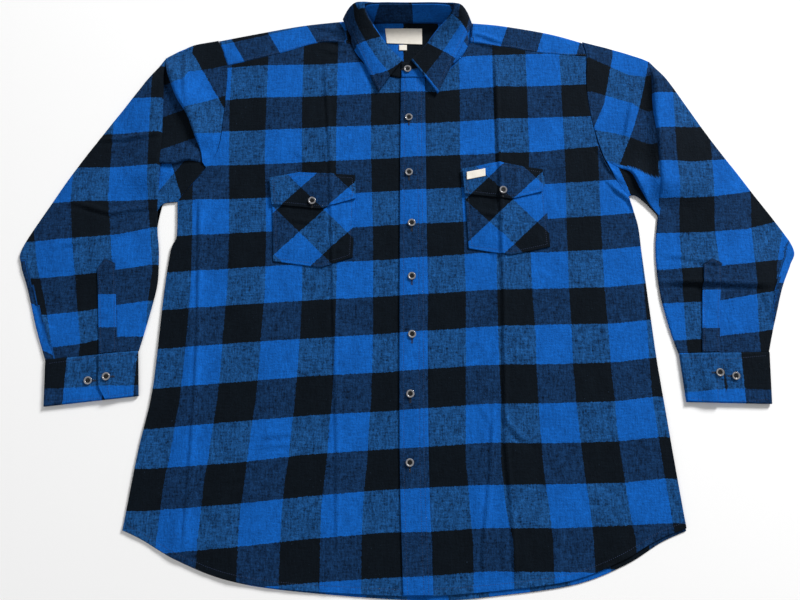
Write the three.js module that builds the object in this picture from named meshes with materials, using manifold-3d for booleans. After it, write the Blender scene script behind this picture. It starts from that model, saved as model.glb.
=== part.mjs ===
import * as THREE from "three";
import { mergeVertices } from "three/addons/utils/BufferGeometryUtils.js";
import Module from "manifold-3d";

const wasm = await Module();
wasm.setup();

// A big men's flannel shirt, buttoned up and laid flat on its back, in millimetres.
// Drawing frame: X to the wearer's left, Y from the hem to the collar, Z up from the surface.
// "Left" and "right" below are as seen from above, so "right" is the wearer's left.

// Driving sizes
const cloth = 1.2; // one layer of brushed flannel
const band = 1.8; // folded band, flap, collar or stand: two layers and their interlining
const cuffBand = 2.4;
const labelCloth = 0.6;
const seamGap = 0.3; // between pieces that are sewn or lie on each other
const seamStep = 0.9; // the same gap, measured straight across at the slanted armholes
const ply = cloth + seamGap;

// Levels, all middles of a wall
const backLevel = cloth / 2;
const frontLevel = backLevel + ply;
const frontTop = frontLevel + cloth / 2;
const placketLevel = frontTop + seamGap + band / 2;
const pocketLevel = frontTop + seamGap + cloth / 2;
const flapLevel = pocketLevel + cloth / 2 + seamGap + band / 2;
const towerLevel = frontTop + seamGap + cloth / 2;
const insideLabelLevel = cloth + seamGap + labelCloth / 2;
const flapLabelLevel = flapLevel + band / 2 + seamGap + labelCloth / 2;
const cuffUnder = cuffBand / 2;
const cuffOver = cuffUnder + cuffBand + seamGap;
const cuffLap = cuffOver + cuffBand + seamGap;

// Buttons
const buttonRadius = 6.3;
const buttonThick = 2.6;
const buttonRim = 1.6;
const buttonDish = 0.8;
const buttonSides = 10;

// Body outline, from the hem upwards and from the left side to the right
const sideSeamLeft = [
  { x: -420, y: 93 },
  { x: -406, y: 205 },
  { x: -391, y: 300 },
  { x: -385, y: 440 },
  { x: -379, y: 515 },
  { x: -371, y: 540 },
  { x: -374, y: 597 },
];
const sideSeamRight = [
  { x: 400, y: 96 },
  { x: 387, y: 222 },
  { x: 375, y: 357 },
  { x: 366, y: 500 },
  { x: 362, y: 560 },
  { x: 350, y: 606 },
];
const armholeLeft = [
  { x: -374, y: 597 },
  { x: -336, y: 648 },
  { x: -313, y: 690 },
  { x: -307, y: 760 },
  { x: -306, y: 838 },
];
const armholeRight = [
  { x: 350, y: 606 },
  { x: 316, y: 666 },
  { x: 301, y: 730 },
  { x: 294, y: 795 },
  { x: 297, y: 854 },
];
const shoulderLeft = { x: -323, y: 884 };
const shoulderRight = { x: 291, y: 881 };
const hemLeft = [
  { x: -420, y: 93 },
  { x: -390, y: 80 },
  { x: -338, y: 52 },
  { x: -263, y: 25 },
  { x: -162, y: 11 },
  { x: 16, y: 2 },
];
const hemRight = [
  { x: 22, y: 3 },
  { x: 128, y: 11 },
  { x: 232, y: 25 },
  { x: 305, y: 52 },
  { x: 357, y: 80 },
  { x: 400, y: 96 },
];
const backHem = [
  { x: -420, y: 93 },
  { x: -390, y: 79 },
  { x: -338, y: 51 },
  { x: -263, y: 24 },
  { x: -162, y: 9 },
  { x: 20, y: -3 },
  { x: 128, y: 4 },
  { x: 236, y: 19 },
  { x: 310, y: 46 },
  { x: 362, y: 76 },
  { x: 400, y: 92 },
];
const yokeSeamLeft = [
  { x: -306, y: 838 },
  { x: -216, y: 861 },
  { x: -155, y: 880 },
  { x: -100, y: 878 },
];
const yokeSeamRight = [
  { x: 102, y: 880 },
  { x: 156, y: 873 },
  { x: 216, y: 862 },
  { x: 297, y: 854 },
];
const shoulderFoldLeft = [
  { x: -323, y: 884 },
  { x: -258, y: 898 },
  { x: -182, y: 913 },
  { x: -108, y: 922 },
];
const shoulderFoldRight = [
  { x: 106, y: 918 },
  { x: 156, y: 913 },
  { x: 235, y: 898 },
  { x: 291, y: 881 },
];
const necklineLeft = [
  { x: -100, y: 878 },
  { x: -82, y: 846 },
  { x: -52, y: 822 },
  { x: 16, y: 815 },
];
const necklineRight = [
  { x: 22, y: 815 },
  { x: 52, y: 820 },
  { x: 84, y: 848 },
  { x: 102, y: 880 },
];
const backNeckline = [
  { x: -112, y: 919 },
  { x: -60, y: 917 },
  { x: 0, y: 916 },
  { x: 60, y: 917 },
  { x: 108, y: 916 },
];
const yokeDrop = 0.75; // the back's yoke seam meets the armhole at this share of it
const frontEdge = { left: 16, right: 22, foot: 3, underarm: 600, neck: 815 };

// Placket on the right front: the two edges of the band at some heights
const placketRows = [
  { y: 5, left: -12, right: 31 },
  { y: 200, left: -17, right: 27 },
  { y: 520, left: -17, right: 26 },
  { y: 812, left: -15, right: 25 },
];

// Sleeves: a row for each section, from the shoulder fold to the underarm seam,
// bow is how much of the armhole's curve the section keeps
const sleeveLeft = [
  { outerX: -323, outerY: 884, innerX: -374, innerY: 597, bow: 1 },
  { outerX: -367, outerY: 874, innerX: -385, innerY: 596, bow: 0.65 },
  { outerX: -406, outerY: 853, innerX: -397, innerY: 594, bow: 0.2 },
  { outerX: -423, outerY: 830, innerX: -406, innerY: 582, bow: 0 },
  { outerX: -447, outerY: 794, innerX: -406, innerY: 565, bow: 0 },
  { outerX: -520, outerY: 686, innerX: -403, innerY: 545, bow: 0 },
  { outerX: -581, outerY: 583, innerX: -399, innerY: 518, bow: 0 },
  { outerX: -614, outerY: 519, innerX: -397, innerY: 488, bow: 0 },
  { outerX: -613, outerY: 492, innerX: -397, innerY: 462, bow: 0 },
  { outerX: -598, outerY: 452, innerX: -401, innerY: 434, bow: 0 },
  { outerX: -577, outerY: 388, innerX: -410, innerY: 390, bow: 0 },
  { outerX: -559, outerY: 342, innerX: -418, innerY: 356, bow: 0 },
];
const sleeveRight = [
  { outerX: 291, outerY: 881, innerX: 350, innerY: 606, bow: 1 },
  { outerX: 339, outerY: 868, innerX: 362, innerY: 608, bow: 0.7 },
  { outerX: 384, outerY: 853, innerX: 380, innerY: 592, bow: 0.35 },
  { outerX: 403, outerY: 842, innerX: 395, innerY: 572, bow: 0 },
  { outerX: 446, outerY: 776, innerX: 393, innerY: 552, bow: 0 },
  { outerX: 513, outerY: 669, innerX: 390, innerY: 533, bow: 0 },
  { outerX: 580, outerY: 566, innerX: 388, innerY: 508, bow: 0 },
  { outerX: 606, outerY: 518, innerX: 388, innerY: 478, bow: 0 },
  { outerX: 598, outerY: 492, innerX: 389, innerY: 460, bow: 0 },
  { outerX: 581, outerY: 455, innerX: 392, innerY: 432, bow: 0 },
  { outerX: 562, outerY: 398, innerX: 401, innerY: 388, bow: 0 },
  { outerX: 549, outerY: 354, innerX: 411, innerY: 352, bow: 0 },
];
const sleeveRings = [3, 3, 3, 2, 2, 2, 1, 1, 1, 2, 2]; // steps between the rows

// Cuffs: corners in plan, the lapped end's X at the seam, low on the edge and at the cut corner
const cuffs = [
  {
    side: "left",
    outerTop: { x: -559, y: 342 },
    innerTop: { x: -418, y: 356 },
    innerFoot: { x: -412, y: 287 },
    outerFoot: { x: -554, y: 271 },
    lapTop: -477,
    lapLow: -473,
    lapFoot: -460,
    buttons: [
      { x: -489, y: 310, on: "under" },
      { x: -461, y: 316, on: "lap" },
    ],
  },
  {
    side: "right",
    outerTop: { x: 550, y: 354 },
    innerTop: { x: 411, y: 352 },
    innerFoot: { x: 416, y: 278 },
    outerFoot: { x: 545, y: 275 },
    lapTop: 473,
    lapLow: 478,
    lapFoot: 467,
    buttons: [
      { x: 468, y: 322, on: "lap" },
      { x: 493, y: 317, on: "under" },
    ],
  },
];

// Sleeve plackets: foot and neck of each edge, and the point of the house-shaped end
const towers = [
  {
    side: "left",
    footLeft: { x: -477, y: 351 },
    footRight: { x: -450, y: 354 },
    neckLeft: { x: -491, y: 484 },
    neckRight: { x: -464, y: 494 },
    point: { x: -480, y: 502 },
  },
  {
    side: "right",
    footLeft: { x: 446, y: 354 },
    footRight: { x: 473, y: 354 },
    neckLeft: { x: 459, y: 493 },
    neckRight: { x: 487, y: 493 },
    point: { x: 473, y: 501 },
  },
];

// Chest pockets and their flaps
const pockets = [
  {
    side: "left",
    topLeft: { x: -223, y: 628 },
    topRight: { x: -88, y: 628 },
    footLeft: { x: -216, y: 497 },
    footPoint: { x: -140, y: 487 },
    footRight: { x: -91, y: 504 },
    flapTopLeft: { x: -227, y: 636 },
    flapTopMiddle: { x: -178, y: 645 },
    flapTopRight: { x: -89, y: 640 },
    flapFootLeft: { x: -222, y: 591 },
    flapPoint: { x: -144, y: 583 },
    flapFootRight: { x: -87, y: 601 },
    button: { x: -157, y: 596 },
  },
  {
    side: "right",
    topLeft: { x: 87, y: 640 },
    topRight: { x: 216, y: 640 },
    footLeft: { x: 92, y: 518 },
    footPoint: { x: 158, y: 507 },
    footRight: { x: 221, y: 521 },
    flapTopLeft: { x: 84, y: 651 },
    flapTopMiddle: { x: 140, y: 662 },
    flapTopRight: { x: 214, y: 650 },
    flapFootLeft: { x: 87, y: 609 },
    flapPoint: { x: 161, y: 599 },
    flapFootRight: { x: 213, y: 613 },
    button: { x: 149, y: 617 },
  },
];

// Collar stand, from the buttoned-under end round the back to the end on top:
// the seam on the neckline and the roll line, where the leaf turns over
const standRows = [
  { seamX: 12, seamY: 814, seamZ: 3.9, rollX: 11, rollY: 841, rollZ: 3.9 },
  { seamX: -26, seamY: 816, seamZ: 3.9, rollX: -12, rollY: 845, rollZ: 4.2 },
  { seamX: -66, seamY: 834, seamZ: 4, rollX: -36, rollY: 872, rollZ: 6 },
  { seamX: -89, seamY: 858, seamZ: 4.1, rollX: -56, rollY: 899, rollZ: 14 },
  { seamX: -99, seamY: 884, seamZ: 4.1, rollX: -71, rollY: 921, rollZ: 25 },
  { seamX: -91, seamY: 909, seamZ: 4, rollX: -72, rollY: 932, rollZ: 31 },
  { seamX: -56, seamY: 917, seamZ: 2.6, rollX: -46, rollY: 932, rollZ: 34 },
  { seamX: 0, seamY: 918, seamZ: 2.4, rollX: -1, rollY: 931, rollZ: 35 },
  { seamX: 56, seamY: 917, seamZ: 2.6, rollX: 44, rollY: 932, rollZ: 34 },
  { seamX: 90, seamY: 907, seamZ: 4, rollX: 69, rollY: 931, rollZ: 31 },
  { seamX: 99, seamY: 880, seamZ: 4.1, rollX: 66, rollY: 918, rollZ: 25 },
  { seamX: 88, seamY: 856, seamZ: 4.2, rollX: 44, rollY: 896, rollZ: 14 },
  { seamX: 62, seamY: 832, seamZ: 5, rollX: 24, rollY: 870, rollZ: 8 },
  { seamX: 26, seamY: 816, seamZ: 6, rollX: 2, rollY: 845, rollZ: 6.3 },
  { seamX: -14, seamY: 814, seamZ: 6, rollX: -14, rollY: 840, rollZ: 6 },
];
// Collar leaf, beside the stand's rows but for the two ends: its start outside the roll line,
// over the stand in front and behind it at the back, and its outer edge
const leafRows = [
  { startX: -12, startY: 845, startZ: 6.6, edgeX: -53, edgeY: 787, edgeZ: 6 },
  { startX: -37, startY: 871, startZ: 8.5, edgeX: -78, edgeY: 838, edgeZ: 7 },
  { startX: -58, startY: 898, startZ: 16.2, edgeX: -97, edgeY: 876, edgeZ: 8 },
  { startX: -73.6, startY: 920, startZ: 27.4, edgeX: -109, edgeY: 905, edgeZ: 8 },
  { startX: -75.5, startY: 933.6, startZ: 32.4, edgeX: -113, edgeY: 922, edgeZ: 8 },
  { startX: -47, startY: 934.4, startZ: 34.6, edgeX: -82, edgeY: 945, edgeZ: 5 },
  { startX: -1, startY: 933.4, startZ: 35.6, edgeX: 0, edgeY: 948, edgeZ: 3 },
  { startX: 45, startY: 934.4, startZ: 34.6, edgeX: 78, edgeY: 944, edgeZ: 5 },
  { startX: 72.5, startY: 932.6, startZ: 32.4, edgeX: 106, edgeY: 920, edgeZ: 8 },
  { startX: 68.6, startY: 917, startZ: 27.4, edgeX: 104, edgeY: 902, edgeZ: 8 },
  { startX: 46, startY: 895, startZ: 16.2, edgeX: 95, edgeY: 873, edgeZ: 8 },
  { startX: 25, startY: 869, startZ: 10.4, edgeX: 73, edgeY: 835, edgeZ: 8 },
  { startX: 2, startY: 845, startZ: 8.7, edgeX: 46, edgeY: 784, edgeZ: 7 },
];
const leafArch = 4; // how far the leaf bulges between its start and its edge

const neckLabels = [
  {
    name: "neck_label",
    footLeft: { x: -39, y: 880 },
    footRight: { x: 21, y: 878 },
    topLeft: { x: -42, y: 908 },
    topRight: { x: 21, y: 908 },
  },
  {
    name: "size_tab",
    footLeft: { x: -18, y: 867 },
    footRight: { x: -5, y: 867 },
    topLeft: { x: -18, y: 877 },
    topRight: { x: -5, y: 877 },
  },
];
const pocketLabel = {
  side: "right",
  topLeft: { x: 91, y: 645 },
  topRight: { x: 121, y: 651 },
  footLeft: { x: 91, y: 632 },
  footRight: { x: 121, y: 638 },
};
const frontButtons = [
  { x: -2, y: 742 },
  { x: -2, y: 646 },
  { x: 2, y: 560 },
  { x: 2, y: 473 },
  { x: 2, y: 381 },
  { x: -1, y: 290 },
  { x: -2, y: 189 },
];
const collarButton = { x: -4, y: 829, lift: 1.4 }; // lift over the stand's middle

// Folds and creases of the upper layer: a line, its rise, and how far it eases off on the left
// of the line and on the right, seen from its start to its end
const folds = [
  { name: "leftCapEdge", x0: -410, y0: 858, x1: -342, y1: 672, rise: 13, left: 34, right: 13 },
  { name: "leftSleeveEdge", x0: -418, y0: 846, x1: -410, y1: 600, rise: 9, left: 13, right: 60 },
  { name: "leftUnderarmRim", x0: -392, y0: 668, x1: -330, y1: 672, rise: 7, left: 30, right: 12 },
  { name: "rightSleeveEdge", x0: 410, y0: 848, x1: 402, y1: 585, rise: 13, left: 60, right: 13 },
  { name: "rightUnderarmRim", x0: 335, y0: 662, x1: 393, y1: 592, rise: 11, left: 34, right: 12 },
  { name: "rightCapCrease", x0: 366, y0: 820, x1: 350, y1: 690, rise: 3, left: 22, right: 12 },
  { name: "leftBodyCrease", x0: -336, y0: 640, x1: -330, y1: 40, rise: 3, left: 14, right: 24 },
  { name: "leftPocketCrease", x0: -142, y0: 850, x1: -108, y1: 200, rise: 1.5, left: 24, right: 18 },
  { name: "rightBodyCrease", x0: 150, y0: 850, x1: 146, y1: 20, rise: 3, left: 26, right: 16 },
  { name: "rightHemCrease", x0: 117, y0: 240, x1: 100, y1: 20, rise: 2.5, left: 16, right: 16 },
  { name: "leftElbow", x0: -604, y0: 500, x1: -430, y1: 500, rise: 3, left: 50, right: 30 },
  { name: "rightElbow", x0: 396, y0: 474, x1: 590, y1: 468, rise: 5, left: 60, right: 16 },
];
const foldTaper = 45; // a fold's ends fade out over this length
const easeSteps = 6; // a facet that lies on another is tested at this many steps along its sides
// Where the upper layer stands clear of the lower one: soft mounds
const mounds = [
  { x: -240, y: 330, reachX: 150, reachY: 330, rise: 2.5 },
  { x: 210, y: 330, reachX: 150, reachY: 330, rise: 2.5 },
  { x: -520, y: 590, reachX: 70, reachY: 130, rise: 4 },
  { x: 505, y: 600, reachX: 70, reachY: 130, rise: 4 },
];

function fade(t) {
  const s = Math.min(1, Math.max(0, t));
  return s * s * (3 - 2 * s);
}

function rowAt(rows, name, t) {
  const place = Math.min(rows.length - 1, Math.max(0, t));
  const i = Math.min(rows.length - 2, Math.floor(place));
  const f = place - i;
  const p0 = rows[Math.max(0, i - 1)][name];
  const p1 = rows[i][name];
  const p2 = rows[i + 1][name];
  const p3 = rows[Math.min(rows.length - 1, i + 2)][name];
  const bend = 2 * p0 - 5 * p1 + 4 * p2 - p3;
  const turn = 3 * (p1 - p2) + p3 - p0;
  return p1 + 0.5 * f * (p2 - p0 + f * (bend + f * turn));
}

// How far the upper layer rises over the lower one at a place of the shirt
function rise(x, y) {
  let sum = 0;
  for (const fold of folds) {
    const length = Math.hypot(fold.x1 - fold.x0, fold.y1 - fold.y0);
    const ux = (fold.x1 - fold.x0) / length;
    const uy = (fold.y1 - fold.y0) / length;
    const along = (x - fold.x0) * ux + (y - fold.y0) * uy;
    const across = (y - fold.y0) * ux - (x - fold.x0) * uy;
    if (along < 0 || along > length) continue;
    const ends = fade(along / foldTaper) * fade((length - along) / foldTaper);
    const reach = across > 0 ? fold.left : fold.right;
    sum += fold.rise * ends * Math.exp(-((across / reach) ** 2));
  }
  for (const mound of mounds) {
    const dx = (x - mound.x) / mound.reachX;
    const dy = (y - mound.y) / mound.reachY;
    sum += mound.rise * fade(1 - Math.hypot(dx, dy));
  }
  return sum;
}

function curveOf(rows) {
  const points = rows.map((row) => new THREE.Vector3(row.x, row.y, row.z ?? 0));
  const curve = new THREE.CatmullRomCurve3(points, false, "centripetal");
  return (t) => curve.getPointAt(Math.min(1, Math.max(0, t)));
}

function lineOf(a, b) {
  const start = new THREE.Vector3(a.x, a.y, 0);
  const end = new THREE.Vector3(b.x, b.y, 0);
  return (t) => start.clone().lerp(end, t);
}

// Two curves end to end as one, the first as far as the share "split"
function joined(first, second, split) {
  return (t) => (t <= split ? first(t / split) : second((t - split) / (1 - split)));
}

// A patch between four edges, each running with u or v from 0 to 1
function patch(left, right, foot, top) {
  return (u, v) => {
    const across = left(v).lerp(right(v), u);
    const along = foot(u).lerp(top(u), v);
    const corners = left(0).lerp(right(0), u).lerp(left(1).lerp(right(1), u), v);
    return across.add(along).sub(corners);
  };
}

function gridOf(surface, stepsU, stepsV) {
  const grid = [];
  for (let j = 0; j <= stepsV; j++) {
    const line = [];
    for (let i = 0; i <= stepsU; i++) line.push(surface(i / stepsU, j / stepsV));
    grid.push(line);
  }
  return grid;
}

function laidOn(grid, level) {
  for (const line of grid) {
    for (const point of line) point.z = level + rise(point.x, point.y);
  }
  return grid;
}

function levelled(grid, level) {
  for (const line of grid) {
    for (const point of line) point.z = level;
  }
  return grid;
}

// The height of a grid's facets over a place, with the corners of the facet, or null beside it
function facetAt(grid, x, y) {
  const weight = (a, b) => (b.x - a.x) * (y - a.y) - (b.y - a.y) * (x - a.x);
  for (let j = 0; j + 1 < grid.length; j++) {
    for (let i = 0; i + 1 < grid[j].length; i++) {
      const a = grid[j][i];
      const c = grid[j + 1][i + 1];
      for (const b of [grid[j][i + 1], grid[j + 1][i]]) {
        const forC = weight(a, b);
        const forA = weight(b, c);
        const forB = weight(c, a);
        const least = Math.min(forA, forB, forC);
        const most = Math.max(forA, forB, forC);
        if (least < 0 && most > 0) continue;
        const sum = forA + forB + forC;
        return { z: (a.z * forA + b.z * forB + c.z * forC) / sum, corners: [a, b, c] };
      }
    }
  }
  return null;
}

function heightOver(bases, x, y) {
  let most = -Infinity;
  for (const base of bases) {
    const facet = facetAt(base.grid, x, y);
    if (facet) most = Math.max(most, facet.z + base.lift);
  }
  return most;
}

// Lays a piece on the facets of what carries it, "lift" above their middles, and eases it up
// where one of their corners would come through
function laidOver(grid, bases) {
  for (const line of grid) {
    for (const point of line) {
      const height = heightOver(bases, point.x, point.y);
      point.z = Number.isFinite(height) ? height : bases[0].lift + frontLevel;
    }
  }
  for (let j = 0; j + 1 < grid.length; j++) {
    for (let i = 0; i + 1 < grid[j].length; i++) {
      easeUp([grid[j][i], grid[j][i + 1], grid[j + 1][i + 1]], bases);
      easeUp([grid[j][i], grid[j + 1][i + 1], grid[j + 1][i]], bases);
    }
  }
  return grid;
}

function easeUp([a, b, c], bases) {
  for (let m = 0; m <= easeSteps; m++) {
    for (let n = 0; m + n <= easeSteps; n++) {
      const forB = m / easeSteps;
      const forC = n / easeSteps;
      const place = a.clone().multiplyScalar(1 - forB - forC);
      place.addScaledVector(b, forB).addScaledVector(c, forC);
      const short = heightOver(bases, place.x, place.y) - place.z;
      if (short > 0) for (const point of [a, b, c]) point.z += short;
    }
  }
}

function direction(grid, j, i, dj, di, wraps) {
  const line = grid[j];
  const n = line.length;
  const sum = new THREE.Vector3();
  for (const sign of [-1, 1]) {
    const jj = j + sign * dj;
    let ii = i + sign * di;
    if (wraps) ii = (ii + n) % n;
    if (jj < 0 || jj >= grid.length || ii < 0 || ii >= n) continue;
    sum.addScaledVector(grid[jj][ii].clone().sub(line[i]).normalize(), sign);
  }
  return sum.normalize();
}

// A cloth wall of one thickness with the grid's points at its middle. A tube's lines close on
// themselves, and it is open at its first and last line.
function wall(grid, thickness, tube = false) {
  const positions = [];
  const n = grid[0].length;
  for (const side of [0.5, -0.5]) {
    for (let j = 0; j < grid.length; j++) {
      for (let i = 0; i < n; i++) {
        const across = direction(grid, j, i, 0, 1, tube);
        const along = direction(grid, j, i, 1, 0, tube);
        const out = across.cross(along).normalize();
        positions.push(...grid[j][i].clone().addScaledVector(out, side * thickness).toArray());
      }
    }
  }
  const inner = grid.length * n; // where the points of the lower side begin
  const at = (j, i) => j * n + ((i + n) % n);
  const faces = [];
  const quad = (a, b, c, d) => faces.push(a, b, c, a, c, d);
  const cells = tube ? n : n - 1;
  for (let j = 0; j + 1 < grid.length; j++) {
    for (let i = 0; i < cells; i++) {
      quad(at(j, i), at(j, i + 1), at(j + 1, i + 1), at(j + 1, i));
      quad(inner + at(j, i), inner + at(j + 1, i), inner + at(j + 1, i + 1), inner + at(j, i + 1));
    }
    if (!tube) {
      quad(at(j, 0), at(j + 1, 0), inner + at(j + 1, 0), inner + at(j, 0));
      quad(at(j + 1, n - 1), at(j, n - 1), inner + at(j, n - 1), inner + at(j + 1, n - 1));
    }
  }
  const last = grid.length - 1;
  for (let i = 0; i < cells; i++) {
    quad(at(0, i + 1), at(0, i), inner + at(0, i), inner + at(0, i + 1));
    quad(at(last, i), at(last, i + 1), inner + at(last, i + 1), inner + at(last, i));
  }
  const geometry = new THREE.BufferGeometry();
  geometry.setAttribute("position", new THREE.Float32BufferAttribute(positions, 3));
  geometry.setIndex(facingOut(positions, faces));
  geometry.computeVertexNormals();
  return geometry;
}

function facingOut(positions, faces) {
  let volume = 0;
  const corner = (k) => new THREE.Vector3().fromArray(positions, 3 * faces[k]);
  for (let k = 0; k < faces.length; k += 3) {
    volume += corner(k).dot(corner(k + 1).cross(corner(k + 2)));
  }
  if (volume > 0) return faces;
  for (let k = 0; k < faces.length; k += 3) {
    [faces[k + 1], faces[k + 2]] = [faces[k + 2], faces[k + 1]];
  }
  return faces;
}

function solidOf(geometry) {
  const bare = geometry.clone();
  bare.deleteAttribute("normal");
  const merged = mergeVertices(bare, 1e-3);
  const vertProperties = new Float32Array(merged.attributes.position.array);
  const triVerts = new Uint32Array(merged.index.array);
  return new wasm.Manifold(new wasm.Mesh({ numProp: 3, vertProperties, triVerts }));
}

function joinedGeometry(geometries) {
  const solid = geometries.map(solidOf).reduce((sum, next) => sum.add(next));
  const mesh = solid.getMesh();
  const geometry = new THREE.BufferGeometry();
  geometry.setAttribute("position", new THREE.Float32BufferAttribute(mesh.vertProperties, 3));
  geometry.setIndex(Array.from(mesh.triVerts));
  geometry.computeVertexNormals();
  return geometry;
}

// Finishes
const flannel = { color: 0x1c4f96, roughness: 0.95, metalness: 0 };
const darkFlannel = { color: 0x16304f, roughness: 0.95, metalness: 0 };
const resin = { color: 0x0c0d10, roughness: 0.25, metalness: 0 };
const labelTape = { color: 0xe9e2d2, roughness: 0.8, metalness: 0 };

const shirt = new THREE.Group();

function addPiece(name, geometry, finish) {
  const piece = new THREE.Mesh(geometry, new THREE.MeshStandardMaterial(finish));
  piece.name = name;
  shirt.add(piece);
  return piece;
}

// Back panel, flat on the surface
const sideRows = 10;
const armRows = 8;
const seamColumns = 10; // along each half of the yoke seam
const neckColumns = 6;
const shoulderSteps = 2;
const hemColumns = 28;
const yokeNeckColumns = 10;
const underarmShare = sideRows / (sideRows + armRows);
const armLeft = curveOf(armholeLeft);
const armRight = curveOf(armholeRight);
const yokeEndLeft = armLeft(yokeDrop);
const yokeEndRight = armRight(yokeDrop);

function backPanel() {
  const outline = [];
  const run = (curve, steps, from = 0, to = 1) => {
    for (let k = 0; k < steps; k++) outline.push(curve(from + ((to - from) * k) / steps));
  };
  run(curveOf(backHem), hemColumns);
  run(curveOf(sideSeamRight), sideRows);
  run(armRight, armRows * yokeDrop, 0, yokeDrop);
  run(lineOf(yokeEndRight, yokeEndLeft), 1);
  run(armLeft, armRows * yokeDrop, yokeDrop, 0);
  run(curveOf(sideSeamLeft), sideRows, 1, 0);
  const shape = new THREE.Shape(outline.map((point) => new THREE.Vector2(point.x, point.y)));
  return new THREE.ExtrudeGeometry(shape, { depth: cloth, bevelEnabled: false });
}
addPiece("back_panel", backPanel(), flannel);

// Fronts: the left one ends below the placket, and the right one carries it
const topLeft = joined(
  curveOf(yokeSeamLeft),
  curveOf(necklineLeft),
  seamColumns / (seamColumns + neckColumns),
);
const topRight = joined(
  curveOf(necklineRight),
  curveOf(yokeSeamRight),
  neckColumns / (seamColumns + neckColumns),
);

function frontGrid(side, arm, hem, top, edge) {
  const outer = joined(curveOf(side), arm, underarmShare);
  const lower = lineOf({ x: edge, y: frontEdge.foot }, { x: edge, y: frontEdge.underarm });
  const upper = lineOf({ x: edge, y: frontEdge.underarm }, { x: edge, y: frontEdge.neck });
  const inner = joined(lower, upper, underarmShare);
  const [left, right] = outer(0).x < edge ? [outer, inner] : [inner, outer];
  const surface = patch(left, right, curveOf(hem), top);
  return laidOn(gridOf(surface, seamColumns + neckColumns, sideRows + armRows), frontLevel);
}
const frontGrids = {
  left: frontGrid(sideSeamLeft, armLeft, hemLeft, topLeft, frontEdge.left),
  right: frontGrid(sideSeamRight, armRight, hemRight, topRight, frontEdge.right),
};
addPiece("front_left", wall(frontGrids.left, cloth), flannel);
addPiece("front_right", wall(frontGrids.right, cloth), flannel);

// Yoke: one piece that lies under the neck and folds over both shoulders to the front seams
const foldRadius = ply / 2;
const foldSteps = 4;
const yokeFrontShares = [0, 0.33, 0.66]; // lines between the front seam and the shoulder fold

function shoulderHalf(seam, fold, arm, neckFoot, outerIsFirst) {
  const front = curveOf(seam);
  const crest = curveOf(fold);
  const outerEnd = outerIsFirst ? 0 : 1;
  const shoulder = crest(outerEnd);
  const grid = [];
  const lineAt = (pointAt) => {
    const line = [];
    for (let i = 0; i <= seamColumns; i++) line.push(pointAt(i / seamColumns));
    grid.push(line);
  };
  for (const share of yokeFrontShares) {
    lineAt((t) => {
      const point = front(t).lerp(crest(t), share);
      point.y += seamGap * (1 - share);
      point.z = frontLevel + rise(point.x, point.y) * (1 - share);
      return point;
    });
  }
  for (let k = 0; k <= foldSteps; k++) {
    const angle = (Math.PI * k) / foldSteps;
    lineAt((t) => {
      const point = crest(t);
      point.y += foldRadius * Math.sin(angle) - foldRadius - cloth / 2;
      point.z = backLevel + foldRadius + foldRadius * Math.cos(angle);
      return point;
    });
  }
  const backSteps = Math.round(armRows * (1 - yokeDrop));
  const ends = [shoulder.clone().lerp(arm(1), 0.5)];
  for (let k = 0; k <= backSteps; k++) ends.push(arm(1 - k / armRows));
  ends.forEach((end, k) => {
    const share = (k + 1) / ends.length;
    lineAt((t) => {
      const toNeck = outerIsFirst ? t : 1 - t;
      const neck = crest(1 - outerEnd).lerp(new THREE.Vector3(neckFoot.x, neckFoot.y, 0), share);
      const crown = crest(t).sub(crest(0).lerp(crest(1), t)).multiplyScalar(1 - share);
      const point = end.clone().lerp(neck, toNeck).add(crown);
      if (k === ends.length - 1) point.y += seamGap;
      point.z = backLevel;
      return point;
    });
  });
  return wall(grid, cloth);
}

function yokeGeometry() {
  const lap = 4; // the middle runs this far into each half, where they are one cloth
  const seamY = (x) => {
    const t = (x - yokeEndLeft.x) / (yokeEndRight.x - yokeEndLeft.x);
    return yokeEndLeft.y + (yokeEndRight.y - yokeEndLeft.y) * t;
  };
  const neckLeft = shoulderFoldLeft[shoulderFoldLeft.length - 1];
  const neckRight = shoulderFoldRight[0];
  const footLeft = { x: neckLeft.x, y: seamY(neckLeft.x) };
  const footRight = { x: neckRight.x, y: seamY(neckRight.x) };
  const leftHalf = shoulderHalf(yokeSeamLeft, shoulderFoldLeft, armLeft, footLeft, true);
  const rightHalf = shoulderHalf(yokeSeamRight, shoulderFoldRight, armRight, footRight, false);
  const outline = [
    { x: footLeft.x - lap, y: seamY(footLeft.x - lap) + seamGap },
    { x: footRight.x + lap, y: seamY(footRight.x + lap) + seamGap },
  ];
  const neckline = curveOf(backNeckline);
  for (let k = 0; k <= yokeNeckColumns; k++) outline.push(neckline(1 - k / yokeNeckColumns));
  const shape = new THREE.Shape(outline.map((point) => new THREE.Vector2(point.x, point.y)));
  const middle = new THREE.ExtrudeGeometry(shape, { depth: cloth, bevelEnabled: false });
  middle.deleteAttribute("uv");
  return joinedGeometry([leftHalf, middle, rightHalf]);
}
addPiece("yoke", yokeGeometry(), flannel);

// Sleeves: flat tubes whose first section follows the armhole
const sleeveSteps = shoulderSteps + armRows;

function armholeSection(arm, shoulder) {
  const top = lineOf(shoulder, arm(1));
  const share = shoulderSteps / sleeveSteps;
  return (v) => (v <= share ? top(v / share) : arm(1 - (v - share) / (1 - share)));
}

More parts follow.
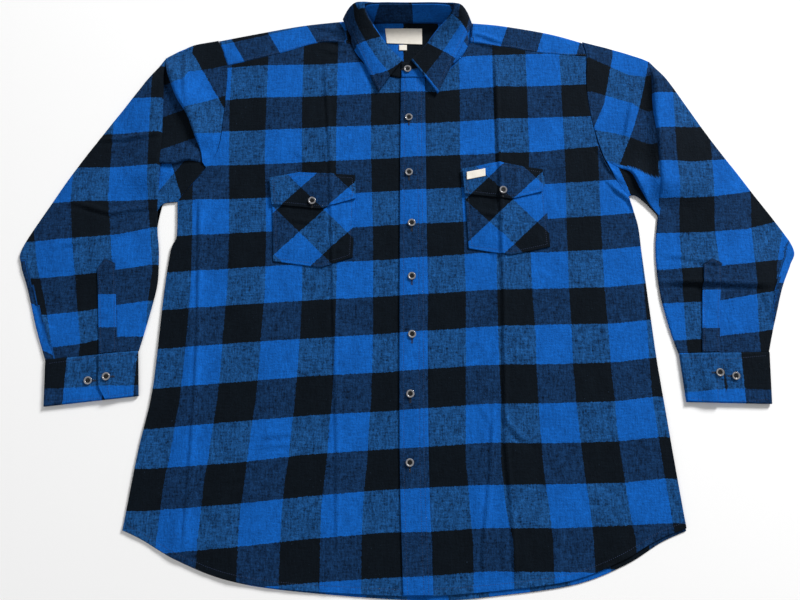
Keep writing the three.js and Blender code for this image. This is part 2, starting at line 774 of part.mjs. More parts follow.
function sleeveGrid(rows, arm, shoulder, outward) {
  const section = armholeSection(arm, shoulder);
  const places = [0];
  sleeveRings.forEach((steps, k) => {
    for (let s = 1; s <= steps; s++) places.push(k + s / steps);
  });
  return places.map((place) => {
    const at = (name) => rowAt(rows, name, place);
    const outer = new THREE.Vector3(at("outerX"), at("outerY"), 0);
    const inner = new THREE.Vector3(at("innerX"), at("innerY"), 0);
    const planAt = (v) => {
      const curved = section(v).sub(section(0).lerp(section(1), v));
      const point = outer.clone().lerp(inner, v).addScaledVector(curved, at("bow"));
      point.x += outward * seamStep;
      return point;
    };
    const across = outer.clone().sub(inner).normalize();
    const inset = (foldRadius + cloth / 2) / outer.distanceTo(inner);
    const line = [];
    const putLayer = (k, heightAt) => {
      const v = Math.min(1 - inset, Math.max(inset, k / sleeveSteps));
      const point = planAt(v);
      point.z = heightAt(point);
      line.push(point);
    };
    const putFold = (v, out) => {
      const point = planAt(v).addScaledVector(across, out);
      point.z = backLevel + foldRadius;
      line.push(point);
    };
    for (let k = 0; k <= sleeveSteps; k++) {
      const clear = fade(Math.min(k, sleeveSteps - k) / 2);
      putLayer(k, (point) => frontLevel + rise(point.x, point.y) * clear);
    }
    putFold(1, cloth / 2);
    for (let k = sleeveSteps; k >= 0; k--) putLayer(k, () => backLevel);
    putFold(0, -cloth / 2);
    return line;
  });
}
const sleeveGrids = {
  left: sleeveGrid(sleeveLeft, armLeft, shoulderLeft, -1),
  right: sleeveGrid(sleeveRight, armRight, shoulderRight, 1),
};
addPiece("sleeve_left", wall(sleeveGrids.left, cloth, true), flannel);
addPiece("sleeve_right", wall(sleeveGrids.right, cloth, true), flannel);

// Front placket with its buttons
const placketLeft = curveOf(placketRows.map((row) => ({ x: row.left, y: row.y })));
const placketRight = curveOf(placketRows.map((row) => ({ x: row.right, y: row.y })));
const placketSteps = 30;
const placketGrid = laidOver(
  gridOf((u, v) => placketLeft(v).lerp(placketRight(v), u), 2, placketSteps),
  [
    { grid: frontGrids.left, lift: placketLevel - frontLevel },
    { grid: frontGrids.right, lift: placketLevel - frontLevel },
  ],
);
addPiece("placket", wall(placketGrid, band), flannel);

const buttonProfile = [
  [0, 0],
  [buttonRadius * 0.75, 0],
  [buttonRadius, buttonThick * 0.5],
  [buttonRadius - buttonRim * 0.5, buttonThick],
  [buttonRadius - buttonRim * 1.5, buttonThick - buttonDish],
  [0, buttonThick - buttonDish],
].map(([r, h]) => new THREE.Vector2(r, h));
const buttonShape = new THREE.LatheGeometry(buttonProfile, buttonSides).rotateX(Math.PI / 2);

// A button lies on the highest place under it
function addButton(name, place, bases) {
  let height = heightOver(bases, place.x, place.y);
  for (let k = 0; k < buttonSides; k++) {
    const angle = (2 * Math.PI * k) / buttonSides;
    const x = place.x + buttonRadius * Math.cos(angle);
    const y = place.y + buttonRadius * Math.sin(angle);
    height = Math.max(height, heightOver(bases, x, y));
  }
  addPiece(name, buttonShape, resin).position.set(place.x, place.y, height + seamGap);
}
frontButtons.forEach((place, k) => {
  addButton(`button_front_${k + 2}`, place, [{ grid: placketGrid, lift: band / 2 }]);
});

// Chest pockets, their flaps and the plain tape on one flap
function edgeThrough(a, b, c) {
  const share = (b.x - a.x) / (c.x - a.x);
  return joined(lineOf(a, b), lineOf(b, c), share);
}

function tapePatch(corners) {
  return patch(
    lineOf(corners.footLeft, corners.topLeft),
    lineOf(corners.footRight, corners.topRight),
    lineOf(corners.footLeft, corners.footRight),
    lineOf(corners.topLeft, corners.topRight),
  );
}

for (const pocket of pockets) {
  const front = frontGrids[pocket.side];
  const body = patch(
    lineOf(pocket.footLeft, pocket.topLeft),
    lineOf(pocket.footRight, pocket.topRight),
    edgeThrough(pocket.footLeft, pocket.footPoint, pocket.footRight),
    lineOf(pocket.topLeft, pocket.topRight),
  );
  const flap = patch(
    lineOf(pocket.flapFootLeft, pocket.flapTopLeft),
    lineOf(pocket.flapFootRight, pocket.flapTopRight),
    edgeThrough(pocket.flapFootLeft, pocket.flapPoint, pocket.flapFootRight),
    edgeThrough(pocket.flapTopLeft, pocket.flapTopMiddle, pocket.flapTopRight),
  );
  const pocketGrid = laidOver(gridOf(body, 8, 6), [
    { grid: front, lift: pocketLevel - frontLevel },
  ]);
  const flapGrid = laidOver(gridOf(flap, 8, 3), [
    { grid: front, lift: flapLevel - frontLevel },
    { grid: pocketGrid, lift: flapLevel - pocketLevel },
  ]);
  addPiece(`pocket_${pocket.side}`, wall(pocketGrid, cloth), flannel);
  addPiece(`flap_${pocket.side}`, wall(flapGrid, band), darkFlannel);
  addButton(`button_flap_${pocket.side}`, pocket.button, [{ grid: flapGrid, lift: band / 2 }]);
  if (pocket.side === pocketLabel.side) {
    const lift = flapLabelLevel - flapLevel;
    const tape = laidOver(gridOf(tapePatch(pocketLabel), 3, 1), [{ grid: flapGrid, lift }]);
    addPiece("pocket_label", wall(tape, labelCloth), labelTape);
  }
}

// Sleeve plackets with their pointed ends
for (const tower of towers) {
  const strip = patch(
    lineOf(tower.footLeft, tower.neckLeft),
    lineOf(tower.footRight, tower.neckRight),
    lineOf(tower.footLeft, tower.footRight),
    edgeThrough(tower.neckLeft, tower.point, tower.neckRight),
  );
  const top = sleeveGrids[tower.side].map((line) => line.slice(0, sleeveSteps + 1));
  const grid = laidOver(gridOf(strip, 4, 8), [{ grid: top, lift: towerLevel - frontLevel }]);
  addPiece(`sleeve_placket_${tower.side}`, wall(grid, cloth), flannel);
}

// Cuffs: a band bent round the wrist, its end lapped over itself on the upper side
const lapFlat = 18; // the lapped end lies this far on the band below it
const lapSlope = 26; // and comes down to the band's own level over this length
const lapUnder = 14; // how far the other end reaches below it
const lowShare = 0.7; // the cut corner begins at this share of the cuff's depth

function cuffGeometry(cuff) {
  const toInner = Math.sign(cuff.innerTop.x - cuff.outerTop.x);
  const turn = (cuffBand + seamGap) / 2;
  const side = toInner * (turn + cuffBand / 2);
  const grid = [0, lowShare / 2, lowShare, 1].map((share) => {
    const outer = lineOf(cuff.outerTop, cuff.outerFoot)(share);
    const inner = lineOf(cuff.innerTop, cuff.innerFoot)(share);
    const straight = cuff.lapTop + ((cuff.lapLow - cuff.lapTop) * share) / lowShare;
    const corner = (share - lowShare) / (1 - lowShare);
    const cut = cuff.lapLow + (cuff.lapFoot - cuff.lapLow) * corner;
    const lapEnd = share <= lowShare ? straight : cut;
    const line = [];
    const put = (x, z, out = 0) => {
      const t = (x - outer.x) / (inner.x - outer.x);
      const y = outer.y + (inner.y - outer.y) * t;
      line.push(new THREE.Vector3(x + out, share === 0 ? y - seamGap : y, z));
    };
    put(lapEnd, cuffLap);
    put(cuff.lapTop + toInner * lapFlat, cuffLap);
    put(cuff.lapTop + toInner * (lapFlat + lapSlope), cuffOver);
    put(inner.x - side, cuffOver);
    put(inner.x, cuffUnder + turn, (-toInner * cuffBand) / 2);
    for (const across of [0, 0.25, 0.5, 0.75, 1]) {
      put(inner.x - side + (outer.x - inner.x + 2 * side) * across, cuffUnder);
    }
    put(outer.x, cuffUnder + turn, (toInner * cuffBand) / 2);
    put(outer.x + side, cuffOver);
    put((outer.x + cuff.lapTop) / 2, cuffOver);
    put(cuff.lapTop, cuffOver);
    put(cuff.lapTop + toInner * lapUnder, cuffOver);
    return line;
  });
  return wall(grid, cuffBand);
}
for (const cuff of cuffs) {
  addPiece(`cuff_${cuff.side}`, cuffGeometry(cuff), flannel);
  cuff.buttons.forEach((place, k) => {
    const level = (place.on === "lap" ? cuffLap : cuffOver) + cuffBand / 2;
    const button = addPiece(`button_cuff_${cuff.side}_${k + 1}`, buttonShape, resin);
    button.position.set(place.x, place.y, level + seamGap);
  });
}

// Collar stand and collar leaf
const rowSteps = 3; // steps between two rows of the collar, the same in the stand and the leaf
const lastStand = standRows.length - 1;
const lastLeaf = leafRows.length - 1;

function between(rows, names, place) {
  return new THREE.Vector3(...names.map((name) => rowAt(rows, name, place)));
}

function standPoint(u, v) {
  const seam = between(standRows, ["seamX", "seamY", "seamZ"], u * lastStand);
  return seam.lerp(between(standRows, ["rollX", "rollY", "rollZ"], u * lastStand), v);
}
addPiece("collar_stand", wall(gridOf(standPoint, rowSteps * lastStand, 2), band), flannel);

function leafPoint(u, v) {
  const place = u * lastLeaf;
  const start = between(leafRows, ["startX", "startY", "startZ"], place);
  const roll = between(standRows, ["rollX", "rollY", "rollZ"], place + 1);
  const out = start.clone().sub(roll).normalize();
  const point = start.lerp(between(leafRows, ["edgeX", "edgeY", "edgeZ"], place), v);
  return point.addScaledVector(out, leafArch * 4 * v * (1 - v));
}
addPiece("collar_leaf", wall(gridOf(leafPoint, rowSteps * lastLeaf, 4), band), flannel);
const standEnd = standRows[lastStand];
addPiece("button_front_1", buttonShape, resin).position.set(
  collarButton.x,
  collarButton.y,
  Math.max(standEnd.rollZ, standEnd.seamZ) + collarButton.lift,
);

// Labels inside the neck: plain woven tape, with nothing on it
for (const label of neckLabels) {
  const grid = levelled(gridOf(tapePatch(label), 2, 1), insideLabelLevel);
  addPiece(label.name, wall(grid, labelCloth), labelTape);
}

// The part's origin is under the middle of the whole shirt, on the surface
const bounds = new THREE.Box3().setFromObject(shirt, true);
const middle = bounds.getCenter(new THREE.Vector3());
shirt.position.set(-middle.x, -middle.y, -bounds.min.z);
shirt.name = "flannel_shirt";

export default shirt;
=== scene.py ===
import bisect
import math

import bmesh
import bpy
from mathutils import Matrix, Vector, noise
from mathutils.bvhtree import BVHTree


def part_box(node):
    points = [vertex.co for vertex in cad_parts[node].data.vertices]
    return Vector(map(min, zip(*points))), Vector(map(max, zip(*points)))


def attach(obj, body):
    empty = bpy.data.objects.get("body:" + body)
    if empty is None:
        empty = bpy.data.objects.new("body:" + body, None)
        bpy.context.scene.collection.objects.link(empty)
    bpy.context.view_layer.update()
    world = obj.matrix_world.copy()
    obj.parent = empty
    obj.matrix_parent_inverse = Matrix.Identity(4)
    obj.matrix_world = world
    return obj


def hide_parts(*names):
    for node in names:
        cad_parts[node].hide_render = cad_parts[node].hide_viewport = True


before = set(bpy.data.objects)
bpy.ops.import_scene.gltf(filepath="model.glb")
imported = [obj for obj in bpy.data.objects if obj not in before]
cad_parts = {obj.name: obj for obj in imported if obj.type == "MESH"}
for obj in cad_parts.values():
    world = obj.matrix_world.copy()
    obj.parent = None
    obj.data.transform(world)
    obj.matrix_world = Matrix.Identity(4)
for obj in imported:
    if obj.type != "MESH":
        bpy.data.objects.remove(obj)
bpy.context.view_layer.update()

# A big flannel shirt laid flat on its back. Sizes are in millimetres on the pattern paper:
# X to the right, Y from the hem to the collar, Z up from the table.

cloth = 1.2
band = 1.8
cuffBand = 2.4
tape = 0.6
ply = cloth + 0.3
backLevel = cloth / 2
frontLevel = backLevel + ply
placketLevel = frontLevel + cloth / 2 + 0.3 + band / 2
pocketLevel = frontLevel + ply
flapLevel = pocketLevel + cloth / 2 + 0.3 + band / 2

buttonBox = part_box("button_front_2")  # this button sits at -2, 742 on the pattern paper
shiftX = (buttonBox[0][0] + buttonBox[1][0]) * 500 + 2
shiftY = (buttonBox[0][1] + buttonBox[1][1]) * 500 - 742


def toMetres(x, y, z):
    return Vector(((x + shiftX) / 1000, (y + shiftY) / 1000, z / 1000))


# ---- curves and patches on the pattern paper

def fade(t):
    t = min(1.0, max(0.0, t))
    return t * t * (3 - 2 * t)


def curveThrough(points):
    pts = [Vector(p) for p in points]
    samples = []
    for i in range(len(pts) - 1):
        a, b = pts[max(0, i - 1)], pts[i]
        c, d = pts[i + 1], pts[min(len(pts) - 1, i + 2)]
        steps = 1 if len(pts) == 2 else 14
        for k in range(steps):
            t = k / steps
            bend = 2 * a - 5 * b + 4 * c - d
            turn = 3 * (b - c) + d - a
            samples.append(b + 0.5 * t * (c - a + t * (bend + t * turn)))
    samples.append(pts[-1])
    return alongSamples(samples)


def alongSamples(samples):
    lengths = [0.0]
    for a, b in zip(samples, samples[1:]):
        lengths.append(lengths[-1] + (b - a).length)

    def at(t):
        reach = min(1.0, max(0.0, t)) * lengths[-1]
        i = min(max(bisect.bisect_right(lengths, reach) - 1, 0), len(samples) - 2)
        span = lengths[i + 1] - lengths[i]
        return samples[i].lerp(samples[i + 1], (reach - lengths[i]) / span if span else 0.0)
    at.length = lengths[-1]
    return at


def lineThrough(*points):
    return alongSamples([Vector(p) for p in points])


def endToEnd(first, second):
    split = first.length / (first.length + second.length)

    def at(t):
        return first(t / split) if t <= split else second((t - split) / (1 - split))
    at.length = first.length + second.length
    return at


def patchOf(left, right, foot, top):
    def at(u, v):
        across = left(v).lerp(right(v), u)
        along = foot(u).lerp(top(u), v)
        corners = left(0).lerp(right(0), u).lerp(left(1).lerp(right(1), u), v)
        return across + along - corners
    return at


def patchBetween(foot, top):
    return patchOf(lineThrough(foot[0], top[0]), lineThrough(foot[-1], top[-1]),
                   lineThrough(*foot), lineThrough(*top))


# a smooth value between rows, with a sharp turn at each row in "corners"
def rowAt(rows, k, t, corners=()):
    place = min(len(rows) - 1.0, max(0.0, t))
    i = min(len(rows) - 2, int(place))
    f = place - i
    a, b = rows[max(0, i - 1)][k], rows[i][k]
    c, d = rows[i + 1][k], rows[min(len(rows) - 1, i + 2)][k]
    if i in corners:
        a = 2 * b - c
    if i + 1 in corners:
        d = 2 * c - b
    return b + 0.5 * f * (c - a + f * (2 * a - 5 * b + 4 * c - d + f * (3 * (b - c) + d - a)))


# ---- how high the upper layer stands: big folds, then creases, then the cloth's own waves

folds = {
    "leftCapEdge": dict(start=(-410, 858), end=(-342, 672), rise=13, left=34, right=13),
    "leftSleeveEdge": dict(start=(-418, 846), end=(-410, 600), rise=9, left=13, right=60),
    "leftUnderarmRim": dict(start=(-392, 668), end=(-330, 672), rise=7, left=30, right=12),
    "rightSleeveEdge": dict(start=(410, 848), end=(402, 585), rise=13, left=60, right=13),
    "rightUnderarmRim": dict(start=(335, 662), end=(393, 592), rise=11, left=34, right=12),
    "rightCapCrease": dict(start=(366, 820), end=(350, 690), rise=3, left=22, right=12),
    "leftBodyCrease": dict(start=(-336, 640), end=(-330, 40), rise=3, left=14, right=24),
    "leftPocketCrease": dict(start=(-142, 850), end=(-108, 200), rise=1.5, left=24, right=18),
    "rightBodyCrease": dict(start=(150, 850), end=(146, 20), rise=3, left=26, right=16),
    "rightHemCrease": dict(start=(117, 240), end=(100, 20), rise=2.5, left=16, right=16),
    "leftElbow": dict(start=(-604, 500), end=(-430, 500), rise=3, left=50, right=30),
    "rightElbow": dict(start=(396, 474), end=(590, 468), rise=5, left=60, right=16),
}
mounds = {
    "leftBody": dict(middle=(-240, 330), reach=(150, 330), rise=2.5),
    "rightBody": dict(middle=(210, 330), reach=(150, 330), rise=2.5),
    "leftRimKnot": dict(middle=(-356, 668), reach=(34, 26), rise=6),
    "leftUpperArm": dict(middle=(-520, 590), reach=(70, 130), rise=4),
    "rightUpperArm": dict(middle=(505, 600), reach=(70, 130), rise=4),
}
foldTaper = 45

# Creases pressed into the cloth: the path, how high the ridge is and how wide. The valley lies
# to the right of the path's direction.
creases = {
    "leftSide": dict(path=[(-338, 603), (-331, 459), (-327, 388), (-326, 281), (-327, 178), (-329, 69)],
                     rise=2.4, wide=3.4),
    "leftPocket": dict(path=[(-144, 848), (-131, 686), (-122, 467), (-111, 222), (-108, 60)],
                       rise=2.0, wide=3.2),
    "rightPocket": dict(path=[(143, 860), (144, 634), (144, 435), (140, 222), (147, 105), (148, 20)],
                        rise=2.5, wide=3.2),
    "rightHem": dict(path=[(124, 262), (115, 164), (105, 80), (101, 25)], rise=2.4, wide=3.2),
    "rightTuck": dict(path=[(135, 269), (145, 244), (162, 225), (188, 216)], rise=2.6, wide=3.4),
    "rightTuckLeft": dict(path=[(101, 273), (114, 254), (124, 234)], rise=1.3, wide=3.6),
    "leftRipple": dict(path=[(-242, 224), (-188, 229), (-134, 220)], rise=1.2, wide=4.2),
    "leftRippleLow": dict(path=[(-238, 211), (-180, 216), (-130, 209)], rise=1.1, wide=4.2),
    "leftLowRipple": dict(path=[(-280, 160), (-220, 170)], rise=1.0, wide=4.2),
    "rightLowRipple": dict(path=[(272, 52), (330, 59)], rise=1.0, wide=4.2),
    "aboveLeftPocket": dict(path=[(-198, 691), (-160, 658)], rise=1.4, wide=3.4),
    "leftPocketFold": dict(path=[(-200, 566), (-160, 560), (-118, 552)], rise=1.3, wide=3.6),
    "rightPocketFold": dict(path=[(100, 580), (140, 570), (168, 560)], rise=1.3, wide=3.6),
    "leftCap": dict(path=[(-377, 862), (-375, 820), (-370, 770)], rise=2.6, wide=4.0),
    "rightCap": dict(path=[(373, 800), (364, 760), (350, 702)], rise=3.2, wide=4.0),
    "rightUnderarmHigh": dict(path=[(304, 690), (323, 651), (342, 630)], rise=3.0, wide=3.4),
    "rightUnderarmLow": dict(path=[(316, 634), (332, 615), (350, 600), (361, 574)], rise=3.0, wide=3.4),
    "leftForearm": dict(path=[(-542, 594), (-479, 576), (-443, 583), (-407, 586)], rise=2.8, wide=4.0),
    "leftElbowTuck": dict(path=[(-560, 520), (-520, 528), (-440, 548)], rise=1.4, wide=5),
    "leftSleeveSeam": dict(path=[(-512, 701), (-461, 703), (-407, 711)], rise=2.2, wide=3.6),
    "rightForearm": dict(path=[(391, 463), (470, 462), (558, 458)], rise=2.8, wide=4.4),
    "rightElbowTuck": dict(path=[(549, 451), (556, 430), (560, 407)], rise=2.4, wide=4.4),
    "rightElbowLow": dict(path=[(400, 508), (450, 500), (500, 488)], rise=1.5, wide=4.4),
    "leftFoldedStrip": dict(path=[(-606, 500), (-587, 451), (-556, 372)], rise=2.0, wide=3.8),
    "rightFoldedStrip": dict(path=[(600, 534), (577, 470), (560, 400)], rise=2.2, wide=3.8),
    "leftShoulderTuck": dict(path=[(-150, 868), (-128, 860), (-100, 866)], rise=1.6, wide=3.2),
    "leftUnderarmRipple": dict(path=[(-380, 690), (-350, 684)], rise=1.4, wide=3.6),
    "rightYokeBunch": dict(path=[(100, 899), (123, 893), (147, 883), (165, 880)], rise=3.0, wide=3.4),
    "rightYokeBunchLow": dict(path=[(100, 884), (128, 876), (150, 872)], rise=2.6, wide=3.2),
    "leftYokeBunchHigh": dict(path=[(-160, 909), (-150, 906), (-129, 904), (-108, 893)], rise=2.6, wide=3.4),
    "leftYokeBunch": dict(path=[(-150, 884), (-128, 882), (-104, 875)], rise=3.0, wide=3.4),
}


def bigRise(x, y):
    total = 0.0
    for fold in folds.values():
        (x0, y0), (x1, y1) = fold["start"], fold["end"]
        length = math.hypot(x1 - x0, y1 - y0)
        ux, uy = (x1 - x0) / length, (y1 - y0) / length
        along = (x - x0) * ux + (y - y0) * uy
        if along < 0 or along > length:
            continue
        across = (y - y0) * ux - (x - x0) * uy
        ends = fade(along / foldTaper) * fade((length - along) / foldTaper)
        reach = fold["left"] if across > 0 else fold["right"]
        total += fold["rise"] * ends * math.exp(-((across / reach) ** 2))
    for mound in mounds.values():
        dx = (x - mound["middle"][0]) / mound["reach"][0]
        dy = (y - mound["middle"][1]) / mound["reach"][1]
        total += mound["rise"] * fade(1 - math.hypot(dx, dy))
    return total


def creaseRise(x, y):
    total = 0.0
    for crease in creases.values():
        path = crease["path"]
        lows = crease.setdefault("low", (min(p[0] for p in path) - 24, min(p[1] for p in path) - 24))
        highs = crease.setdefault("high", (max(p[0] for p in path) + 24, max(p[1] for p in path) + 24))
        if not (lows[0] < x < highs[0] and lows[1] < y < highs[1]):
            continue
        best, side = 1e9, 1.0
        for (x0, y0), (x1, y1) in zip(path, path[1:]):
            dx, dy = x1 - x0, y1 - y0
            t = min(1.0, max(0.0, ((x - x0) * dx + (y - y0) * dy) / (dx * dx + dy * dy)))
            gap = math.hypot(x - x0 - t * dx, y - y0 - t * dy)
            if gap < best:
                best = gap
                side = 1.0 if (y - y0) * dx - (x - x0) * dy > 0 else -1.0
        wide = crease["wide"]
        along = min(math.hypot(x - path[0][0], y - path[0][1]), math.hypot(x - path[-1][0], y - path[-1][1]))
        ends = 0.25 + 0.75 * fade(along / 30)
        ridge = math.exp(-((side * best - 0.3 * wide) / wide) ** 2)
        valley = math.exp(-((side * best + 1.2 * wide) / wide) ** 2)
        total += crease["rise"] * ends * (ridge - 0.7 * valley)
    return total


def waves(x, y):
    slow = noise.noise(Vector((x * 0.012, y * 0.005, 3.1)))
    quick = noise.noise(Vector((x * 0.045, y * 0.016, 7.7)))
    tiny = noise.noise(Vector((x * 0.11, y * 0.07, 1.3)))
    return 0.8 + 0.9 * slow + 0.75 * quick + 0.24 * tiny


def riseOf(x, y):
    return max(0.0, bigRise(x, y) + creaseRise(x, y) + waves(x, y))


# ---- the check: whole numbers are the edges of its squares, even ones begin a bright stripe

pitch = 59.0


def stripeIndex(edges, value):
    up = edges[-1] > edges[0]
    if not up:
        edges, value = [-e for e in edges], -value
    if value <= edges[0]:
        return (value - edges[0]) / pitch
    if value >= edges[-1]:
        return len(edges) - 1 + (value - edges[-1]) / pitch
    i = bisect.bisect_right(edges, value) - 1
    return i + (value - edges[i]) / (edges[i + 1] - edges[i])


def edgesAt(table, where):
    keys = sorted(table)
    where = min(keys[-1], max(keys[0], where))
    i = min(max(bisect.bisect_right(keys, where) - 1, 0), len(keys) - 2)
    f = (where - keys[i]) / (keys[i + 1] - keys[i])
    return [a + (b - a) * f for a, b in zip(table[keys[i]], table[keys[i + 1]])]


bodyRows = {
    -387: [767, 714, 657, 598, 538, 479, 419, 358, 298, 238, 180, 120, 59, 2],
    -258: [779, 720, 660, 602, 545, 487, 428, 368, 308, 249, 189, 130, 70, 12],
    -150: [781, 725, 665, 608, 549, 494, 435, 375, 317, 258, 201, 141, 81, 21],
    -39: [788, 730, 671, 614, 557, 500, 441, 382, 323, 264, 208, 150, 90, 28],
    43: [790, 734, 676, 619, 561, 506, 446, 388, 329, 270, 213, 154, 92, 32],
    110: [797, 738, 678, 622, 564, 511, 451, 393, 334, 275, 218, 157, 97, 37],
    215: [800, 743, 683, 626, 567, 512, 453, 396, 335, 276, 217, 158, 96, 36],
    312: [804, 746, 693, 633, 574, 517, 456, 398, 338, 279, 220, 160, 100, 34],
    370: [810, 752, 699, 636, 579, 523, 462, 404, 345, 286, 226, 166, 103, 40],
}
bodyColumns = {
    "left": {80: [-370, -310, -251, -190, -132, -72], 122: [-367, -307, -250, -189, -132, -71],
             164: [-364, -305, -245, -186, -128, -68], 193: [-359, -301, -243, -182, -125, -65],
             244: [-353, -296, -238, -178, -122, -63], 281: [-348, -292, -234, -175, -119, -60],
             334: [-346, -289, -231, -172, -117, -59], 380: [-344, -289, -230, -170, -116.5, -58],
             451: [-343, -286, -227, -169, -116, -58.5], 541: [-346, -288, -229, -172, -116.5, -59.5],
             685: [-354, -295.5, -237, -176.5, -121, -64], 765: [-358, -299, -238, -179, -121, -64.5]},
    "right": {80: [89, 147, 205, 264, 325, 383], 122: [86, 138, 202, 262, 319, 379],
              164: [83.5, 135, 197, 257, 315, 375], 193: [81, 133, 195, 254.5, 312, 372],
              244: [82, 134, 193, 251, 308, 368], 281: [83, 136, 192, 249, 308, 365],
              334: [84, 134.5, 191, 247, 305, 364.5], 380: [85, 134.5, 192, 248, 305, 365],
              451: [86.5, 135, 189.5, 247, 303, 365], 541: [85, 136, 190, 248.5, 304, 364.5],
              685: [81.5, 138.5, 194, 252.5, 306.5, 364], 765: [83, 139, 195, 252, 310, 367]},
}
sleeveColumns = {
    "left": {372: [-553, -508, -451, -409], 430: [-568, -519, -457, -409], 487: [-586, -527, -468, -406],
             549: [-600, -537, -477, -414], 601: [-602, -544, -485, -422], 715: [-604, -546, -487, -426],
             813: [-604, -546, -488, -428]},
    "right": {372: [424, 473, 537, 566], 432: [425, 479, 540, 571], 490: [425, 485, 541, 576],
              546: [428, 483, 542, 592], 603: [432, 487, 547, 606], 663: [430, 490, 548, 606],
              782: [433, 492, 548, 606]},
}
sleeveRows = {
    "left": {-615: [766, 708, 650, 592, 529, 468, 408, 355], -581: [768, 710, 652, 594, 531, 470, 410, 357],
             -532: [772, 712, 654, 596, 535, 474, 415, 363], -499: [772, 712, 654, 597, 537, 478, 419, 368],
             -466: [775, 713, 655, 598, 541, 483, 426, 377], -410: [775, 715, 658, 601, 554, 492, 434, 378]},
    "right": {395: [782, 719, 662, 602, 544, 484, 430, 371], 460: [783, 723, 663, 603, 545, 487, 433, 375],
              485: [785, 725, 666, 604, 546, 489, 435, 380], 534: [789, 729, 670, 611, 550, 494, 444, 385],
              579: [798, 738, 680, 621, 562, 500, 451, 392]},
}
capRows = {
    "left": {-396: [809, 745, 700, 650], -365: [824, 758, 707, 655], -305: [839, 784, 716, 660]},
    "right": {303: [852, 790, 721, 671], 335: [836, 780, 715, 662], 366: [821, 768, 706, 651],
              393: [817, 752, 694, 636]},
}
capColumns = {
    "left": {665: [-254], 755: [-305], 860: [-366]},
    "right": {659: [275, 340], 718: [299, 365], 768: [322, 382], 823: [334, 396], 856: [342, 404]},
}


def bodyRow(x, y):
    return stripeIndex(edgesAt(bodyRows, x), y) + 1


def frontCheck(side):
    def at(x, y):
        return stripeIndex(edgesAt(bodyColumns[side], y), x), bodyRow(x, y)
    return at


def placketCheck(x, y):
    return 0.5 + x / 400, bodyRow(x, y)


# a narrow strip beyond the elbow crease is folded over, so its squares are out of step
def sleeveCheck(side):
    def at(x, y):
        if side == "left" and y < 500 and x < -606 + (496 - y) * 0.4:
            return 0.5, stripeIndex([496, 430, 368], y + 0.45 * (x + 590)) + 1
        if side == "right" and 400 < y < 540 and x > 575 + (y - 468) * (0.38 if y > 468 else 0.24):
            return 0.5, 0.5 if y > 463 else 1.5
        c = stripeIndex(edgesAt(sleeveColumns[side], y), x) + (1 if side == "right" else 0)
        return c, stripeIndex(edgesAt(sleeveRows[side], x), y)
    return at


def leftCapCheck(x, y):
    line = edgesAt(capColumns["left"], y)[0]
    hidden = 0.16 * fade((-369 - x) / 4) * fade((y - 740) / 30)  # the crease swallows a strip
    return stripeIndex(edgesAt(capRows["left"], x), y) - hidden, 1 + (x - line) / 100


def rightCapCheck(x, y):
    row = stripeIndex(edgesAt(capRows["right"], x), y) + 1
    if row > 4:  # the strip along the rolled rim
        return 0.5, 0.5
    return row, stripeIndex(edgesAt(capColumns["right"], y), x)


def leftValleyCheck(x, y):
    lean = (x + 390) * 0.4
    return stripeIndex([750 + lean, 691 + lean], y) + 1, 1.5


def leftUnderarmCheck(x, y):
    line = -371 - 0.35 * (y - 613) if y < 668 else -390
    return 1 + (617 + (x + 404) * 1.35 - y) / pitch, 1 + (x - line) / pitch


def rightUnderarmCheck(x, y):
    inside = 1 + (x - 344 - 0.35 * (640 - y)) / pitch
    return inside, inside


def yokeCheck(x, y):
    if x < -108:
        c = stripeIndex([-298, -229.5, -156], x + 0.58 * (y - 880)) + 1
        return (880 + (x + 304) * 0.25 - y) / pitch, c
    if x > 106:
        return (918 - y) / pitch, stripeIndex([156, 220, 288], x - 0.33 * (y - 880)) + 1
    return (x + 11) / pitch + 1, (x + 11) / pitch + 1


def biasCheck(middle):
    def at(x, y):
        dx, dy = x - middle[0], y - middle[1]
        return 1.5 + (dx * 0.7 + dy * 0.71) / 53, 1.5 + (dx * 0.69 - dy * 0.72) / 53
    return at


# ---- materials

def addNode(tree, kind, inputs=None, **settings):
    node = tree.nodes.new(kind)
    for name, value in settings.items():
        setattr(node, name, value)
    for name, value in (inputs or {}).items():
        if isinstance(value, bpy.types.NodeSocket):
            tree.links.new(value, node.inputs[name])
        else:
            node.inputs[name].default_value = value
    return node


def maths(tree, operation, a, b=0.0, c=0.0):
    return addNode(tree, "ShaderNodeMath", {0: a, 1: b, 2: c}, operation=operation).outputs[0]


def blended(tree, share, a, b, how="MIX"):
    node = addNode(tree, "ShaderNodeMix", data_type="RGBA", blend_type=how)
    for name, value in (("Factor_Float", share), ("A_Color", a), ("B_Color", b)):
        socket = next(s for s in node.inputs if s.identifier == name)
        if isinstance(value, bpy.types.NodeSocket):
            tree.links.new(value, socket)
        else:
            socket.default_value = value
    return next(s for s in node.outputs if s.identifier == "Result_Color")


def noiseAt(tree, where, stretch, scale, detail=2.0, rough=0.5):
    moved = addNode(tree, "ShaderNodeMapping", {"Vector": where, "Scale": stretch})
    node = addNode(tree, "ShaderNodeTexNoise", {
        "Vector": moved.outputs[0], "Scale": scale, "Detail": detail, "Roughness": rough})
    return node.outputs["Fac"]


